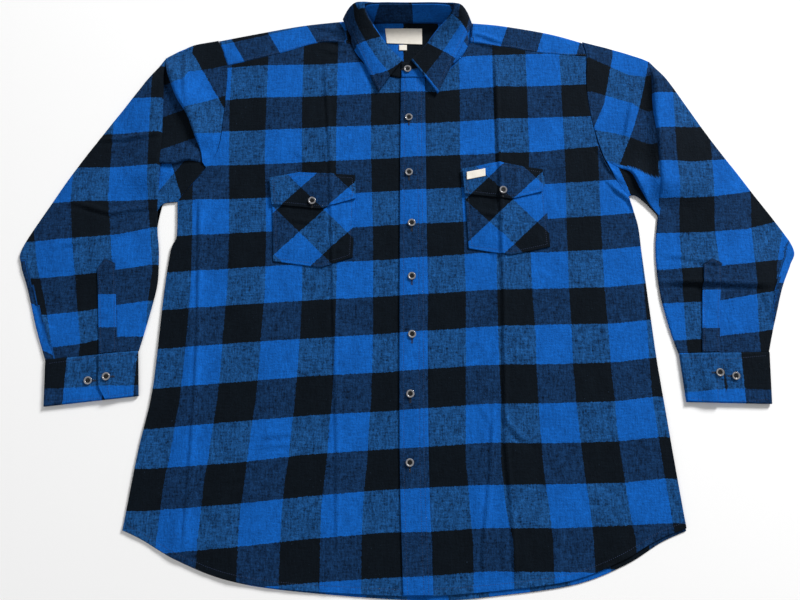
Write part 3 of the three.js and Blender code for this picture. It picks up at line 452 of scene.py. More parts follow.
def buildCheckGroup():
    tree = bpy.data.node_groups.new("buffaloCheck", "ShaderNodeTree")
    for name, kind in (("Check", "NodeSocketVector"), ("Place", "NodeSocketVector"),
                       ("Mottle", "NodeSocketFloat"), ("Bright", "NodeSocketColor"),
                       ("Heather", "NodeSocketColor"), ("Navy", "NodeSocketColor"),
                       ("Black", "NodeSocketColor")):
        tree.interface.new_socket(name, in_out="INPUT", socket_type=kind)
    for name, kind in (("Color", "NodeSocketColor"), ("Height", "NodeSocketFloat"),
                       ("Roughness", "NodeSocketFloat")):
        tree.interface.new_socket(name, in_out="OUTPUT", socket_type=kind)
    given = addNode(tree, "NodeGroupInput")
    result = addNode(tree, "NodeGroupOutput")
    place = given.outputs["Place"]
    parts = addNode(tree, "ShaderNodeSeparateXYZ", {0: given.outputs["Check"]})
    fray = maths(tree, "MULTIPLY_ADD", noiseAt(tree, place, (1, 1, 1), 330, 3), 0.06, -0.03)

    def darkStripe(value):
        half = maths(tree, "MULTIPLY", maths(tree, "ADD", value, fray), 0.5)
        return maths(tree, "GREATER_THAN", maths(tree, "FRACT", half), 0.5)
    warpDark = darkStripe(parts.outputs[0])
    weftDark = darkStripe(parts.outputs[1])
    top = blended(tree, warpDark, given.outputs["Bright"], given.outputs["Heather"])
    low = blended(tree, warpDark, given.outputs["Navy"], given.outputs["Black"])
    base = blended(tree, weftDark, top, low)

    # streaks along both threads, flecks of lint and slow clouds where the nap is worn
    warpStreak = noiseAt(tree, place, (1, 0.2, 1), 330, 3, 0.7)
    weftStreak = noiseAt(tree, place, (0.25, 1, 1), 330, 3, 0.7)
    fleck = noiseAt(tree, place, (1, 0.7, 1), 480, 2, 0.7)
    cloud = noiseAt(tree, place, (1, 0.6, 1), 42, 3, 0.5)
    mottle = maths(tree, "MULTIPLY_ADD", warpStreak, 1.2, maths(tree, "ADD", weftStreak, fleck))
    mottle = maths(tree, "MULTIPLY_ADD", mottle, 3.6, -5.76)
    mixed = maths(tree, "ABSOLUTE", maths(tree, "SUBTRACT", warpDark, weftDark))
    reach = maths(tree, "MULTIPLY_ADD", mixed, given.outputs["Mottle"], 0.2)
    share = maths(tree, "MULTIPLY_ADD", mottle, reach, 1.0)
    worn = maths(tree, "MULTIPLY_ADD", cloud, 0.5, 0.75)
    share = maths(tree, "MAXIMUM", maths(tree, "MULTIPLY", share, worn), 0.12)
    lint = maths(tree, "MULTIPLY_ADD", noiseAt(tree, place, (1, 0.4, 1), 700, 1, 0.5), 16.0, -12.2)
    lint = maths(tree, "MULTIPLY", maths(tree, "MINIMUM", maths(tree, "MAXIMUM", lint, 0.0), 1.0), 0.35)
    plain = addNode(tree, "ShaderNodeVectorMath", {0: base, "Scale": share}, operation="SCALE")
    color = blended(tree, lint, plain.outputs[0], (0.055, 0.10, 0.17, 1))
    tree.links.new(color, result.inputs["Color"])

    # twill: fine diagonal ribs, under the brushed nap
    rib = addNode(tree, "ShaderNodeTexWave", {"Vector": given.outputs["Check"], "Scale": 14.0,
                                              "Distortion": 1.5, "Detail": 1.0},
                  bands_direction="DIAGONAL").outputs["Fac"]
    height = maths(tree, "MULTIPLY_ADD", rib, 0.12, maths(tree, "MULTIPLY", mottle, 0.5))
    tree.links.new(height, result.inputs["Height"])
    rough = maths(tree, "MULTIPLY_ADD", fleck, 0.1, 0.86)
    tree.links.new(rough, result.inputs["Roughness"])
    return tree


checkGroup = buildCheckGroup()


def startMaterial(name):
    material = bpy.data.materials.new(name)
    material.use_nodes = True
    tree = material.node_tree
    return material, tree, tree.nodes["Principled BSDF"]


def makeFlannel(name, look):
    material, tree, shader = startMaterial(name)
    check = addNode(tree, "ShaderNodeUVMap", uv_map="check")
    place = addNode(tree, "ShaderNodeTexCoord")
    group = addNode(tree, "ShaderNodeGroup", node_tree=checkGroup)
    tree.links.new(check.outputs["UV"], group.inputs["Check"])
    tree.links.new(place.outputs["Object"], group.inputs["Place"])
    group.inputs["Mottle"].default_value = look["mottle"]
    for part in ("Bright", "Heather", "Navy", "Black"):
        group.inputs[part].default_value = (*look[part.lower()], 1)
    bump = addNode(tree, "ShaderNodeBump", {"Strength": look["nap"], "Distance": 0.0006,
                                            "Height": group.outputs["Height"]})
    tree.links.new(group.outputs["Color"], shader.inputs["Base Color"])
    tree.links.new(group.outputs["Roughness"], shader.inputs["Roughness"])
    tree.links.new(bump.outputs["Normal"], shader.inputs["Normal"])
    shader.inputs["Sheen Weight"].default_value = look["sheen"]
    shader.inputs["Sheen Roughness"].default_value = 0.6
    shader.inputs["Sheen Tint"].default_value = (0.55, 0.7, 1.0, 1)
    shader.inputs["Specular IOR Level"].default_value = 0.05
    return material


flannelLook = {
    "bright": (0.0045, 0.092, 0.39), "heather": (0.0075, 0.056, 0.178),
    "navy": (0.0048, 0.0245, 0.076), "black": (0.0028, 0.0052, 0.0085),
    "mottle": 0.35, "nap": 0.6, "sheen": 0.015,
}
flannel = makeFlannel("flannelBuffaloCheck", flannelLook)
flannelBias = makeFlannel("flannelOnTheBias", {**flannelLook, "mottle": 0.39})


def makeTape():
    look = {"color": (0.78, 0.74, 0.66, 1), "weave": 1500.0}
    material, tree, shader = startMaterial("wovenTape")
    place = addNode(tree, "ShaderNodeTexCoord").outputs["Object"]
    threads = noiseAt(tree, place, (0.2, 1, 1), look["weave"], 2)
    dirt = noiseAt(tree, place, (1, 1, 1), 140, 3)
    share = maths(tree, "MULTIPLY_ADD", dirt, 0.16, 0.9)
    share = maths(tree, "MULTIPLY_ADD", threads, 0.12, maths(tree, "SUBTRACT", share, 0.06))
    color = addNode(tree, "ShaderNodeVectorMath", {0: look["color"][:3], "Scale": share}, operation="SCALE")
    tree.links.new(color.outputs[0], shader.inputs["Base Color"])
    bump = addNode(tree, "ShaderNodeBump", {"Strength": 0.3, "Distance": 0.0003, "Height": threads})
    tree.links.new(bump.outputs["Normal"], shader.inputs["Normal"])
    shader.inputs["Roughness"].default_value = 0.8
    return material


# the two tones that cloud through the resin; on the button rim they are a painted highlight, light grey standing in
# for the shine on black resin
def makeResin(name, resinTonesAndPaintedHighlight, rough, coat):
    material, tree, shader = startMaterial(name)
    place = addNode(tree, "ShaderNodeTexCoord").outputs["Object"]
    cloud = noiseAt(tree, place, (1, 1, 1), 260, 3)
    tree.links.new(blended(tree, cloud, *resinTonesAndPaintedHighlight), shader.inputs["Base Color"])
    scuff = noiseAt(tree, place, (1, 1, 1), 900, 3)
    tree.links.new(maths(tree, "MULTIPLY_ADD", scuff, 0.2, rough), shader.inputs["Roughness"])
    shader.inputs["Coat Weight"].default_value = coat
    shader.inputs["Coat Roughness"].default_value = 0.08
    shader.inputs["Specular IOR Level"].default_value = 0.3
    return material


def makeThread(name, tint):
    material, tree, shader = startMaterial(name)
    place = addNode(tree, "ShaderNodeTexCoord").outputs["Object"]
    twist = noiseAt(tree, place, (1, 1, 1), 2200, 2)
    dark = tuple(0.6 * part for part in tint)
    tree.links.new(blended(tree, twist, (*dark, 1), (*tint, 1)), shader.inputs["Base Color"])
    shader.inputs["Roughness"].default_value = 0.6
    return material


wovenTape = makeTape()
buttonResin = makeResin("buttonResin", ((0.002, 0.002, 0.0025, 1), (0.006, 0.006, 0.007, 1)), 0.3, 0.0)
# the rim's light grey is a painted highlight for the shine on black resin; its coat adds real reflection on top
buttonRimPaintedHighlight = makeResin("buttonRimPaintedHighlight", ((0.10, 0.10, 0.11, 1), (0.32, 0.32, 0.33, 1)), 0.1, 0.7)
seamThread = makeThread("seamThread", (0.006, 0.024, 0.085))
holeThread = makeThread("holeThread", (0.0035, 0.006, 0.012))
print("materials ready")


# ---- cloth pieces from grids

def newPiece(name, bm, material, thickness=None):
    mesh = bpy.data.meshes.new(name)
    bm.to_mesh(mesh)
    bm.free()
    mesh.materials.append(material)
    for polygon in mesh.polygons:
        polygon.use_smooth = True
    piece = bpy.data.objects.new(name, mesh)
    bpy.context.scene.collection.objects.link(piece)
    if thickness:
        wall = piece.modifiers.new("wall", "SOLIDIFY")
        wall.thickness = thickness / 1000
        wall.offset = 0
    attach(piece, "root")
    return piece


# Adds a grid to the mesh. "place" gives a point for each column and row, "check" its square.
def addGrid(bm, columns, rows, place, check):
    uvLayer = bm.loops.layers.uv.get("check") or bm.loops.layers.uv.new("check")
    made = bmesh.ops.create_grid(bm, x_segments=columns, y_segments=rows, size=0.5)
    squares = {}
    for vert in made["verts"]:
        i, j = round((vert.co.x + 0.5) * columns), round((vert.co.y + 0.5) * rows)
        point = place(i, j)
        squares[vert] = check(point, i, j)
        vert.co = toMetres(*point)
    faces = {face for vert in made["verts"] for face in vert.link_faces}
    for face in faces:
        for loop in face.loops:
            loop[uvLayer].uv = squares[loop.vert]
    return made["verts"]


# Columns at even steps, closer together at the two edges, and past an edge that turns under
def columnPlaces(width, step, curlStart, curlEnd):
    inner = max(2, round((width - 6) / step))
    places = [("in", 0.0), ("in", 0.9)]
    places += [("in", 3 + (width - 6) * k / inner) for k in range(inner + 1)]
    places += [("in", width - 0.9), ("in", width)]
    if curlStart:
        places = [("start", k) for k in (3, 2, 1)] + places
    if curlEnd:
        places += [("end", k) for k in (1, 2, 3)]
    return places


curlShape = {1: (0.15, 1.5), 2: (0.6, 1.9), 3: (2.2, 2.0)}  # how far back in, how far down, in radii


# A sheet between four curves, laid at a height. An edge in "curl" rounds down to that level.
def laySheet(bm, plan, heightAt, check, step=4.5, curl=None, widest=None, along=None):
    curl = curl or {}
    along = along or step
    width = widest or max((plan(1, v) - plan(0, v)).length for v in (0, 0.25, 0.5, 0.75, 1))
    length = max(sum((plan(u, (k + 1) / 8) - plan(u, k / 8)).length for k in range(8))
                 for u in (0, 0.5, 1))
    places = columnPlaces(width, step, "start" in curl, "end" in curl)
    count = max(2, round(length / along))
    rows = [0.0, 0.9 / length] + [k / count for k in range(1, count)] + [1 - 0.9 / length, 1.0]

    def place(i, j):
        kind, k = places[i]
        v = rows[j]
        across = plan(1, v) - plan(0, v)
        here = max(across.length, 1e-6)
        outward = across / here
        if kind == "in":
            u = k / width
            p = plan(u, v)
            z = heightAt(p.x, p.y)
            for side, reach in (("start", u * here), ("end", (1 - u) * here)):
                if side in curl:
                    edge = plan(0 if side == "start" else 1, v)
                    radius = max(0.3, (heightAt(edge.x, edge.y) - curl[side]) / 2)
                    short = radius - reach
                    if short > 0:
                        z -= radius - math.sqrt(max(0.0, radius * radius - short * short))
            return p.x, p.y, z
        edge = plan(0 if kind == "start" else 1, v)
        radius = max(0.3, (heightAt(edge.x, edge.y) - curl[kind]) / 2)
        back, down = curlShape[k]
        sign = 1 if kind == "start" else -1
        p = edge + outward * sign * back * radius
        return p.x, p.y, heightAt(edge.x, edge.y) - down * radius

    def square(point, i, j):
        return check(point[0], point[1])
    return addGrid(bm, len(places) - 1, len(rows) - 1, place, square)


def finishCloth(bm, name, thickness, material=None):
    bmesh.ops.recalc_face_normals(bm, faces=bm.faces)
    return newPiece(name, bm, material or flannel, thickness)


# ---- back, fronts and yoke

bodyShape = {
    "sideLeft": [(-420, 93), (-406, 205), (-391, 300), (-385, 440), (-379, 515), (-371, 540), (-374, 597)],
    "sideRight": [(400, 96), (387, 222), (375, 357), (366, 500), (362, 560), (350, 606)],
    "armLeft": [(-374, 597), (-336, 648), (-313, 690), (-307, 760), (-306, 838)],
    "armRight": [(350, 606), (316, 666), (301, 730), (294, 795), (297, 854)],
    "hemLeft": [(-420, 93), (-390, 80), (-338, 52), (-263, 25), (-162, 11), (16, 2)],
    "hemRight": [(22, 3), (128, 11), (232, 25), (305, 52), (357, 80), (400, 96)],
    "backHem": [(-420, 93), (-390, 79), (-338, 51), (-263, 24), (-162, 9), (20, -3), (128, 4),
                (236, 19), (310, 46), (362, 76), (400, 92)],
    "yokeSeamLeft": [(-306, 838), (-216, 861), (-155, 880), (-100, 878)],
    "yokeSeamRight": [(102, 880), (156, 873), (216, 862), (297, 854)],
    "foldLeft": [(-323, 884), (-258, 898), (-182, 913), (-108, 922)],
    "foldRight": [(106, 918), (156, 913), (235, 898), (291, 881)],
    "neckLeft": [(-100, 878), (-82, 846), (-52, 822), (16, 815)],
    "neckRight": [(22, 815), (52, 820), (84, 848), (102, 880)],
    "backNeck": [(-108, 921), (-60, 921), (0, 921), (60, 921), (106, 919)],
    "yokeDrop": 0.75, "step": 2.8, "along": 3.6,
}
curves = {name: curveThrough(points) for name, points in bodyShape.items() if isinstance(points, list)}


def part(curve, start, end):
    def at(t):
        return curve(start + (end - start) * t)
    at.length = curve.length * abs(end - start)
    return at


drop = bodyShape["yokeDrop"]
yokeEndLeft, yokeEndRight = curves["armLeft"](drop), curves["armRight"](drop)


def frontHeight(x, y):
    return frontLevel + riseOf(x, y)


def edgeWaves(x, y, strength):
    return strength * noise.noise(Vector((x * 0.09, y * 0.09, 5.0)))


def buildBack():
    bm = bmesh.new()
    left = endToEnd(curves["sideLeft"], part(curves["armLeft"], 0, drop))
    right = endToEnd(curves["sideRight"], part(curves["armRight"], 0, drop))
    top = lineThrough(yokeEndLeft, yokeEndRight)
    plan = patchOf(left, right, curves["backHem"], top)
    laySheet(bm, plan, lambda x, y: backLevel, lambda x, y: ((x + 357) / 58.5, bodyRow(x, y) + 0.08), 6.0)
    piece = finishCloth(bm, "backPanelCloth", cloth)
    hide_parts("back_panel")
    return piece


def buildFront(side, edge, seamY):
    bm = bmesh.new()
    outer = endToEnd(curves["side" + side], curves["arm" + side])
    inner = lineThrough((edge, 3), (edge, 815))
    hem = curves["hem" + side]
    yoke, neck = curves["yokeSeam" + side], curves["neck" + side]
    if side == "Left":
        plan = patchOf(outer, inner, hem, endToEnd(yoke, neck))
    else:
        plan = patchOf(inner, outer, hem, endToEnd(neck, yoke))
    hemEdge = [hem(k / 60) for k in range(61)]

    def height(x, y):
        z = frontHeight(x, y)
        if y < 130:  # the hem is turned up twice, and its stitching pulls a shallow groove
            near = min(hemEdge, key=lambda p: abs(p.x - x))
            up = y - near.y
            z += 0.35 * fade((11 - up) / 1.5) - 0.3 * math.exp(-((up - 9) / 2) ** 2)
            z += 0.25 * fade((16 - up) / 8) * noise.noise(Vector((x * 0.12, 2, 0)))
        return max(frontLevel, z)
    laySheet(bm, plan, height, frontCheck(side.lower()), bodyShape["step"], along=bodyShape["along"])
    node = "front_" + side.lower()
    piece = finishCloth(bm, "front" + side + "Cloth", cloth)
    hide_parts(node)
    return piece


def buildYoke():
    bm = bmesh.new()
    radius = ply / 2
    for side in ("Left", "Right"):
        seam, crest, arm = curves["yokeSeam" + side], curves["fold" + side], curves["arm" + side]
        outerT = 0 if side == "Left" else 1
        neckEnd = crest(1 - outerT)
        slope = (yokeEndRight.y - yokeEndLeft.y) / (yokeEndRight.x - yokeEndLeft.x)
        neckFoot = Vector((neckEnd.x, yokeEndLeft.y + slope * (neckEnd.x - yokeEndLeft.x)))
        shoulder = crest(outerT)
        frontRows, foldRows, backRows = 15, 8, 12
        columns = 64

        def place(i, j):
            t = i / columns
            if j <= frontRows:
                share = j / frontRows * 0.9
                p = seam(t).lerp(crest(t), share)
                lift = riseOf(p.x, p.y) * (1 - share) ** 0.6
                groove = 0.25 * math.exp(-((p - seam(t)).length - 5) ** 2 / 3)
                return p.x, p.y + 0.3 * (1 - share), max(frontLevel, frontLevel + lift + 0.25 - groove)
            if j <= frontRows + foldRows:
                angle = math.pi * (j - frontRows) / foldRows
                p = crest(t)
                y = p.y + radius * math.sin(angle) - radius - cloth / 2
                return p.x, y, backLevel + radius + radius * math.cos(angle)
            share = (j - frontRows - foldRows) / backRows
            if share < 1 / 3:
                end = shoulder.lerp(arm(1), share * 3)
            else:
                end = arm(1 - (share - 1 / 3) * 1.5 * (1 - drop))
            toNeck = t if side == "Left" else 1 - t
            neck = neckEnd.lerp(neckFoot, share)
            crown = (crest(t) - crest(0).lerp(crest(1), t)) * (1 - share)
            p = end.lerp(neck, toNeck) + crown
            return p.x, p.y + (0.3 if share == 1 else 0), backLevel
        addGrid(bm, columns, frontRows + foldRows + backRows, place, lambda p, i, j: yokeCheck(p[0], p[1]))
    slope = (yokeEndRight.y - yokeEndLeft.y) / (yokeEndRight.x - yokeEndLeft.x)
    seamAt = lambda x: yokeEndLeft.y + slope * (x - yokeEndLeft.x) + 0.3
    foot = lineThrough((-108, seamAt(-108)), (106, seamAt(106)))
    left = lineThrough((-108, seamAt(-108)), (-108, 921))
    right = lineThrough((106, seamAt(106)), (106, 919))
    plan = patchOf(left, right, foot, curves["backNeck"])

    def neckHeight(x, y):  # the neck edge rises into the band
        return backLevel + 0.9 * fade((y - 902) / 14) * fade((104 - abs(x)) / 14)
    laySheet(bm, plan, neckHeight, yokeCheck, 6.0)
    piece = finishCloth(bm, "yokeCloth", cloth)
    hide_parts("yoke")
    return piece


backPiece = buildBack()
print("back laid")
frontLeftPiece = buildFront("Left", 16, 838)
frontRightPiece = buildFront("Right", 22, 854)
print("fronts laid")
yokePiece = buildYoke()
print("yoke folded over the shoulders")


# ---- sleeves

sleeveShape = {
    "Left": {
        "outer": [(-559, 342), (-577, 388), (-598, 452), (-613, 492), (-614, 519), (-581, 583),
                  (-520, 686), (-447, 794), (-423, 830), (-406, 853), (-367, 874), (-323, 884)],
        "inner": [(-418, 356), (-410, 390), (-401, 434), (-397, 462), (-397, 488), (-399, 518),
                  (-403, 545), (-406, 565), (-406, 582), (-397, 594), (-385, 596), (-374, 597)],
        "mainOuter": [(-559, 342), (-577, 388), (-598, 452), (-613, 492), (-614, 519), (-581, 583),
                      (-520, 686), (-447, 794), (-423, 830), (-412, 847)],
        "mainInner": [(-418, 356), (-410, 390), (-401, 434), (-397, 462), (-397, 488), (-399, 518),
                      (-403, 545), (-405, 574), (-406, 616), (-406, 685), (-410, 804), (-410, 848)],
    },
    "Right": {
        "outer": [(549, 354), (562, 398), (581, 455), (598, 492), (606, 518), (580, 566),
                  (513, 669), (446, 776), (403, 842), (384, 853), (339, 868), (291, 881)],
        "inner": [(411, 352), (401, 388), (392, 432), (389, 460), (388, 478), (388, 508),
                  (390, 533), (393, 552), (395, 572), (380, 592), (362, 608), (350, 606)],
        "mainOuter": [(549, 354), (562, 398), (581, 455), (598, 492), (606, 518), (580, 566),
                      (513, 669), (446, 776), (404, 842)],
        "mainInner": [(411, 352), (401, 388), (392, 432), (389, 460), (388, 478), (388, 508),
                      (390, 533), (393, 552), (396, 571), (399, 608), (401, 703), (399, 756),
                      (401, 811), (402, 845)],
    },
    "step": 3.1,
}


def lowHeight(share):
    return lambda x, y: (frontLevel + share * bigRise(x, y)
                         + max(0.0, creaseRise(x, y) + 0.5 * waves(x, y)))


def shifted(points, dx):
    return [(x + dx, y) for x, y in points]


def tuckedIn(points, dx):
    return [(x + dx * fade((y - 380) / 60) * fade((600 - y) / 30), y) for x, y in points]


def buildLeftSleeve():
    bm = bmesh.new()
    shape = sleeveShape["Left"]
    step = sleeveShape["step"]
    foot = lineThrough((-559, 342), (-418, 356))
    # under layer, flat on the table
    armhole = endToEnd(lineThrough((-323.9, 884), (-306.9, 838)),
                       curveThrough(shifted(bodyShape["armLeft"][::-1], -0.9)))
    plan = patchOf(curveThrough(shape["outer"]), curveThrough(tuckedIn(shape["inner"], -4)), foot, armhole)
    laySheet(bm, plan, lambda x, y: backLevel, sleeveCheck("left"), 8.0)
    # upper layer from the wrist to the fold beside the armhole
    plan = patchOf(curveThrough(shape["mainOuter"]), curveThrough(shape["mainInner"]), foot,
                   lineThrough((-412, 847), (-410, 848)))
    laySheet(bm, plan, frontHeight, sleeveCheck("left"), step,
             curl={"start": backLevel + 0.4, "end": backLevel + 0.9}, widest=200)
    # the cap, which turns under along its slanting edge
    plan = patchOf(curveThrough([(-337, 663), (-341, 684), (-353, 713), (-366, 745), (-386, 777),
                                 (-401, 813), (-411, 846)]),
                   curveThrough([(-330.6, 654), (-313.4, 690), (-307.4, 760), (-306.4, 838), (-324, 884)]),
                   lineThrough((-337, 663), (-331, 654)),
                   curveThrough([(-411, 846), (-406, 853), (-367, 874), (-324, 884)]))
    laySheet(bm, plan, frontHeight, leftCapCheck, step, curl={"start": frontLevel + 3.2}, widest=86)
    # the valley between the two folds, down to its rolled lower rim
    plan = patchOf(lineThrough((-412, 842), (-404, 842)),
                   curveThrough([(-409, 662), (-384, 661), (-371, 665), (-357, 667), (-341, 664)]),
                   curveThrough([(-412, 842), (-414, 804), (-411, 700), (-409, 662)]),
                   curveThrough([(-404, 842), (-392, 813), (-375, 777), (-356, 745), (-345, 713),
                                 (-340, 684), (-341, 664)]))

    def valley(x, y):
        rim = 4.5 * fade((720 - y) / 60) * fade((-338 - x) / 24)
        return frontLevel + 1.5 + rim + max(0, creaseRise(x, y) + waves(x, y) * 0.6)
    laySheet(bm, plan, valley, leftValleyCheck, step, curl={"end": frontLevel + 1.6}, widest=180)
    # the underarm, deep below that rim
    plan = patchOf(curveThrough([(-409, 566), (-411, 620), (-411, 690)]),
                   curveThrough([(-374.9, 597), (-353, 627), (-337, 648), (-326, 670)]),
                   curveThrough([(-409, 566), (-405, 582), (-397, 593), (-385, 596), (-374.9, 597)]),
                   curveThrough([(-411, 690), (-370, 684), (-326, 670)]))
    laySheet(bm, plan, lowHeight(0.12), leftUnderarmCheck, step)
    piece = finishCloth(bm, "sleeveLeftCloth", cloth)
    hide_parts("sleeve_left")
    return piece


def buildRightSleeve():
    bm = bmesh.new()
    shape = sleeveShape["Right"]
    step = sleeveShape["step"]
    foot = lineThrough((549, 354), (411, 352))
    armhole = endToEnd(lineThrough((291.9, 881), (297.9, 854)),
                       curveThrough(shifted(bodyShape["armRight"][::-1], 0.9)))
    plan = patchOf(curveThrough(shape["outer"]), curveThrough(tuckedIn(shape["inner"], 4)), foot, armhole)
    laySheet(bm, plan, lambda x, y: backLevel, sleeveCheck("right"), 8.0)
    plan = patchOf(curveThrough(shape["mainInner"]), curveThrough(shape["mainOuter"]),
                   lineThrough((411, 352), (549, 354)), lineThrough((402, 845), (404, 842)))
    laySheet(bm, plan, frontHeight, sleeveCheck("right"), step,
             curl={"start": backLevel + 0.9, "end": backLevel + 0.4}, widest=200)
    # the cap, down to its rolled rim over the underarm
    plan = patchOf(curveThrough([(291.9, 881), (339, 868), (384, 853), (403, 844)]),
                   curveThrough([(317, 668), (340, 655), (358, 646), (370, 620), (384, 593), (399, 571)]),
                   curveThrough([(291.9, 881), (297.9, 854), (294.9, 795), (302, 730), (317, 668)]),
                   curveThrough([(403, 844), (404, 811), (403, 756), (405, 703), (403, 608), (399, 571)]))
    cap = lambda x, y: frontLevel + 0.75 * bigRise(x, y) + max(0, creaseRise(x, y) + waves(x, y))
    laySheet(bm, plan, cap, rightCapCheck, step, curl={"end": frontLevel + 1.6}, widest=215)
    plan = patchOf(curveThrough([(350.9, 606), (331, 640), (314, 680)]),
                   curveThrough([(398, 570), (402, 630), (404, 690)]),
                   curveThrough([(350.9, 606), (362, 608), (380, 592), (398, 570)]),
                   curveThrough([(314, 680), (360, 690), (404, 690)]))
    laySheet(bm, plan, lowHeight(0.1), rightUnderarmCheck, step)
    piece = finishCloth(bm, "sleeveRightCloth", cloth)
    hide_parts("sleeve_right")
    return piece


sleeveLeftPiece = buildLeftSleeve()
sleeveRightPiece = buildRightSleeve()
print("sleeves laid")


# ---- placket, pockets, flaps, sleeve plackets and cuffs

placketShape = {"left": [(-12, 5), (-17, 200), (-17, 520), (-15, 813.8)],
                "right": [(31, 5), (26, 200), (26, 520), (25, 815)],
                "stitchIn": 6.4, "secondRow": 6.8}


def buildPlacket():
    bm = bmesh.new()
    plan = patchOf(curveThrough(placketShape["left"]), curveThrough(placketShape["right"]),
                   lineThrough((-12, 5), (31, 5)), lineThrough((-15, 813.8), (25, 815)))
    leftEdge = curveThrough(placketShape["left"])
    rightEdge = curveThrough(placketShape["right"])

    def height(x, y):
        t = (y - 5) / 807
        fromLeft, fromRight = x - leftEdge(t).x, rightEdge(t).x - x
        inside = placketShape["stitchIn"]
        groove = sum(0.45 * math.exp(-((gap - inside) / 1.2) ** 2)
                     for gap in (fromLeft, fromRight, fromRight - placketShape["secondRow"]))
        puff = 0.5 * fade(min(fromLeft, fromRight) / 4)
        return placketLevel + riseOf(x, y) + 0.2 + puff - groove + edgeWaves(x, y * 1.6, 0.3)
    laySheet(bm, plan, height, placketCheck, 2.2, widest=43)
    piece = finishCloth(bm, "placketBand", band)
    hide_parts("placket")
    return piece


pocketShape = {
    "left": dict(top=[(-223, 628), (-88, 628)], foot=[(-216, 497), (-140, 487), (-91, 504)],
                 flapTop=[(-227, 636), (-178, 645), (-89, 640)],
                 flapFoot=[(-222, 591), (-144, 583), (-87, 601)], middle=(-176, 582)),
    "right": dict(top=[(87, 640), (216, 640)], foot=[(92, 518), (158, 507), (221, 521)],
                  flapTop=[(84, 651), (140, 662), (214, 650)],
                  flapFoot=[(87, 609), (161, 599), (213, 613)], middle=(126, 599)),
    "stitchIn": 5.0,
}


def insideDistance(edges, x, y):
    least = 1e9
    for (x0, y0), (x1, y1) in zip(edges, edges[1:] + edges[:1]):
        dx, dy = x1 - x0, y1 - y0
        t = min(1.0, max(0.0, ((x - x0) * dx + (y - y0) * dy) / (dx * dx + dy * dy)))
        least = min(least, math.hypot(x - x0 - t * dx, y - y0 - t * dy))
    return least


def buildPocket(side):
    shape = pocketShape[side]
    inset = pocketShape["stitchIn"]
    pieces = []
    outline = shape["foot"] + shape["top"][::-1]

    def pocketHeight(x, y):
        near = insideDistance(outline, x, y)
        groove = 0.3 * math.exp(-((near - inset) / 1.2) ** 2)
        belly = 1.1 * fade(near / 26)
        return pocketLevel + riseOf(x, y) + 0.3 + belly - groove + edgeWaves(x, y, 0.3) * fade(near / 8)
    bm = bmesh.new()
    plan = patchBetween(shape["foot"], shape["top"])
    laySheet(bm, plan, pocketHeight, biasCheck(shape["middle"]), 2.4)
    piece = finishCloth(bm, "pocket" + side.title() + "Cloth", cloth, flannelBias)
    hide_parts("pocket_" + side)
    pieces.append(piece)

    flapOutline = shape["flapFoot"] + shape["flapTop"][::-1]

    def flapHeight(x, y):
        near = insideDistance(flapOutline, x, y)
        groove = 0.3 * math.exp(-((near - inset) / 1.2) ** 2)
        return flapLevel + riseOf(x, y) + 1.5 + 0.5 * fade(near / 14) - groove + edgeWaves(x, y, 0.3)
    bm = bmesh.new()
    plan = patchBetween(shape["flapFoot"], shape["flapTop"])
    laySheet(bm, plan, flapHeight, biasCheck(shape["middle"]), 2.2)
    piece = finishCloth(bm, "flap" + side.title() + "Cloth", band, flannelBias)
    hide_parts("flap_" + side)
    pieces.append(piece)
    return pieces


towerShape = {
    "left": dict(foot=[(-477, 351), (-450, 354)], neck=[(-491, 484), (-480, 502), (-464, 494)], rows=[444, 392]),
    "right": dict(foot=[(446, 354), (473, 354)], neck=[(459, 493), (473, 501), (487, 493)], rows=[451, 391]),
}


def buildTower(side):
    shape = towerShape[side]
    outline = shape["foot"] + shape["neck"][::-1]

    def height(x, y):
        near = insideDistance(outline, x, y)
        groove = 0.3 * math.exp(-(near - 3) ** 2)
        return frontLevel + ply + riseOf(x, y) + 0.4 - groove + edgeWaves(x, y, 0.3)
    bm = bmesh.new()
    plan = patchBetween(shape["foot"], shape["neck"])
    laySheet(bm, plan, height, lambda x, y: (0.5, stripeIndex(shape["rows"], y)), 2.0)
    piece = finishCloth(bm, "sleevePlacket" + side.title() + "Band", cloth)
    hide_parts("sleeve_placket_" + side)
    return piece


cuffShape = {
    "left": dict(outerTop=(-559, 342), innerTop=(-418, 356), innerFoot=(-412, 287), outerFoot=(-554, 271),
                 lapTop=-477, lapLow=-473, lapFoot=-460, edge={-552: [298], -521: [299], -470: [302], -414: [303]},
                 lapCheck=(-419, -1), outerCheck=(-525, 1)),
    "right": dict(outerTop=(550, 354), innerTop=(411, 352), innerFoot=(416, 278), outerFoot=(545, 275),
                  lapTop=473, lapLow=478, lapFoot=467, edge={408: [291], 469: [297], 500: [298], 542: [296]},
                  lapCheck=(474, -1), outerCheck=(505, -1)),
    "lapFlat": 18, "lapSlope": 26, "lapUnder": 14, "lowShare": 0.7,
}


